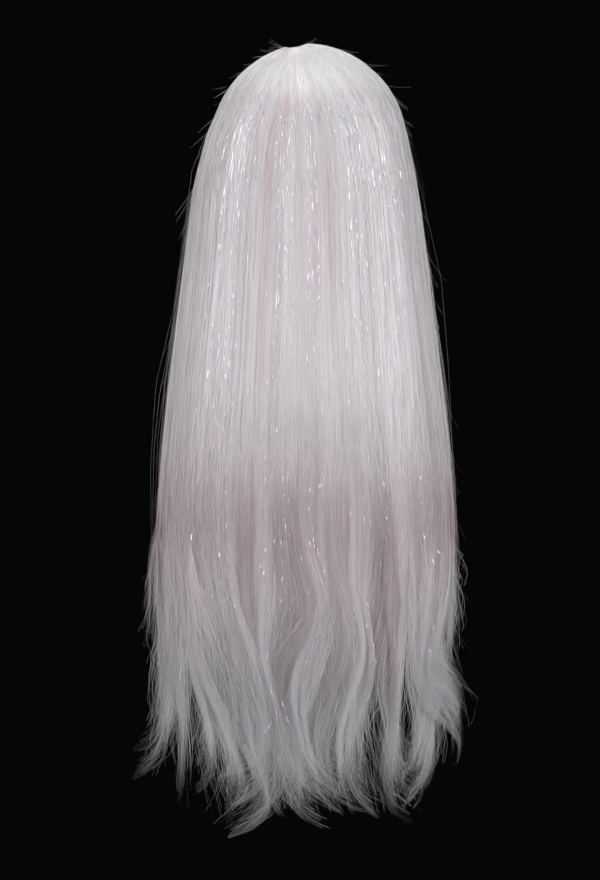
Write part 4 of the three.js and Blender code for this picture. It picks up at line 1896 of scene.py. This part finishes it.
@dataclass
class LaceFront:
    """Net of fine threads along the front hairline, with a tongue under the parting and bound edges."""

    head: HeadForm
    lace: LaceShape
    cell: float = 2.0
    lines: int = 130
    reach: float = 97.0
    thread: float = 0.11
    thread_sides: int = 3
    binding: float = 0.6
    binding_sides: int = 6
    border_span: Span = (90.0, 270.0)
    border_points: int = 361

    def net(self) -> Array:
        """Lays a net of six-sided cells over the head and keeps what lies on the lace.

        Returns:
            Both ends of each thread.
        """
        side, half = self.cell, self.cell * np.sqrt(0.75)
        lines = np.arange(-self.lines, self.lines + 1)
        i, j = (grid.ravel() for grid in np.meshgrid(lines, lines))
        start = np.stack((half * (2 * i + j), 1.5 * side * j), axis=-1).astype(float)
        steps = np.array(((0.0, side), (-half, -0.5 * side), (half, -0.5 * side)))
        ends = (start[:, None, :] + steps[None]).reshape(-1, 2)
        plan = np.stack((np.repeat(start, 3, axis=0), ends), axis=1)
        angle = np.degrees(np.arctan2(plan[..., 0], -plan[..., 1]))
        polar = np.linalg.norm(plan, axis=-1) / self.reach
        points = self.head.point(angle, polar, 0.5 * self.head.cap_wall)
        kept = self.lace.inside(points) & (polar < self.head.edge_polar(angle))
        return points[kept.all(axis=1)]

    def borders(self) -> list[Array]:
        """Lays the bound front edge and the seam to the cap.

        Returns:
            Points along each.
        """
        angle = np.linspace(*self.border_span, self.border_points)
        edge = self.head.edge_polar(angle)
        seam = self.lace.seam_polar(self.head, angle)
        met = seam < edge
        middle = 0.5 * self.head.cap_wall
        return [self.head.point(angle[met], polar[met], middle)[None] for polar in (edge, seam)]

    def build(self, material: bpy.types.Material) -> bpy.types.Object:
        """Builds the net and its borders as one piece.

        Args:
            material: Material of the threads.

        Returns:
            The piece.
        """
        mesh = TubeMesh("lace_net")
        threads = [(self.net(), self.thread, self.thread_sides)]
        threads += [(border, self.binding, self.binding_sides) for border in self.borders()]
        for path, half, sides in threads:
            ones = np.ones(path.shape[:2])
            mesh.add(path, half * ones[..., None], sides, 0.0, {"tone": ones})
        return join_frame(mesh.build(material), Slot.LACE, "lace_front")


class LightRow(NamedTuple):
    """Soft rectangular light, in metres and watts: its place, what it faces, its size, power and colour."""

    name: str
    place: Point
    target: Point
    size: Span
    power: float
    colour: Point


LIGHTS = (
    LightRow("top", (0.0, -0.35, 0.9), (0.0, -0.05, -0.15), (0.9, 0.7), 6.0, (0.99, 0.99, 1.0)),
    LightRow("left", (-1.15, -0.4, 0.15), (0.0, -0.05, -0.2), (0.6, 0.9), 9.2, (0.95, 0.97, 1.0)),
    LightRow("right", (1.15, -0.4, 0.15), (0.0, -0.05, -0.2), (0.6, 0.9), 9.6, (0.95, 0.97, 1.0)),
    LightRow("front", (0.06, -1.4, 0.2), (0.0, 0.0, -0.02), (1.7, 0.8), 13.4, (0.99, 0.99, 1.0)),
    LightRow("face", (0.0, 1.1, 0.75), (0.0, 0.05, -0.25), (0.9, 0.5), 5.0, (1.0, 0.99, 0.98)),
)


@dataclass
class Studio:
    """Plain floor, soft lights and the camera of the photo, in metres."""

    camera_distance: float = 5.0
    view_height: float = 0.845
    centre: Point = (-0.0053, 0.0, -0.368)
    sensor: float = 36.0
    floor_level: float = -1.25
    floor_half: float = 2.5
    surround: Colour = (0.0018, 0.0018, 0.0018, 1.0)

    def build(self) -> None:
        """Builds the floor, lights, camera and world."""
        self.floor()
        for row in LIGHTS:
            self.light(row)
        self.camera()
        world = bpy.data.worlds.new("studio")
        world.use_nodes = True
        world.node_tree.nodes["Background"].inputs["Color"].default_value = self.surround
        bpy.context.scene.world = world
        bpy.context.scene.view_settings.view_transform = "Standard"

    def floor(self) -> None:
        """Adds the pale floor below the tips of the hair."""
        half = self.floor_half
        corners = [(x * half, y * half, self.floor_level) for x, y in ((-1, -1), (1, -1), (1, 1), (-1, 1))]
        mesh = bpy.data.meshes.new("floor")
        mesh.from_pydata(corners, [], [(0, 1, 2, 3)])
        mesh.materials.append(FloorFinish().material())
        made = bpy.data.objects.new("floor", mesh)
        bpy.context.scene.collection.objects.link(made)

    def light(self, row: LightRow) -> None:
        """Adds one soft light.

        Args:
            row: Where it stands and what it gives.
        """
        lamp = bpy.data.lights.new(row.name, "AREA")
        lamp.shape = "RECTANGLE"
        lamp.size, lamp.size_y = row.size
        lamp.energy = row.power
        lamp.color = row.colour
        made = bpy.data.objects.new(row.name, lamp)
        made.location = row.place
        made.rotation_euler = (Vector(row.target) - Vector(row.place)).to_track_quat("-Z", "Y").to_euler()
        bpy.context.scene.collection.objects.link(made)

    def camera(self) -> None:
        """Adds the camera behind the wig, level with its middle."""
        lens = bpy.data.cameras.new("camera")
        lens.sensor_width = self.sensor
        lens.lens = self.sensor * self.camera_distance / self.view_height
        made = bpy.data.objects.new("camera", lens)
        made.location = Vector(self.centre) - Vector((0.0, self.camera_distance, 0.0))
        made.rotation_euler = Vector((0.0, 1.0, 0.0)).to_track_quat("-Z", "Z").to_euler()
        bpy.context.scene.collection.objects.link(made)
        bpy.context.scene.camera = made


def main() -> None:
    """Builds the wig's pieces in order and reports each one."""
    logging.basicConfig(level=logging.INFO, format="%(name)s %(message)s")
    form = HairForm()
    locks = LockField(form)
    hair = HairFinish().material()
    Studio().build()
    Cap(form.head, LaceShape()).build(NetFinish().material())
    LaceFront(form.head, LaceShape()).build(ThreadFinish().material())
    side = {"top_clumps": 430, "weft_clumps": 310}
    panels = (
        HairPanel("hair_side_left", -140.0, -70.0, ("left_fall",), 11, **side),
        HairPanel("hair_back_left", -70.0, -23.0, ("crown_hair_left",), 12),
        HairPanel("hair_back_middle", -23.0, 23.0, ("back_fall",), 13),
        HairPanel("hair_back_right", 23.0, 70.0, ("crown_hair_right",), 14),
        HairPanel("hair_side_right", 70.0, 140.0, ("right_fall",), 15, **side),
    )
    for panel in panels:
        panel.build(form, locks, hair)
    LooseHairs().build(form, locks, hair)
    Tinsel().build(form, locks, TinselFinish().material())


if __name__ == "__main__":
    main()
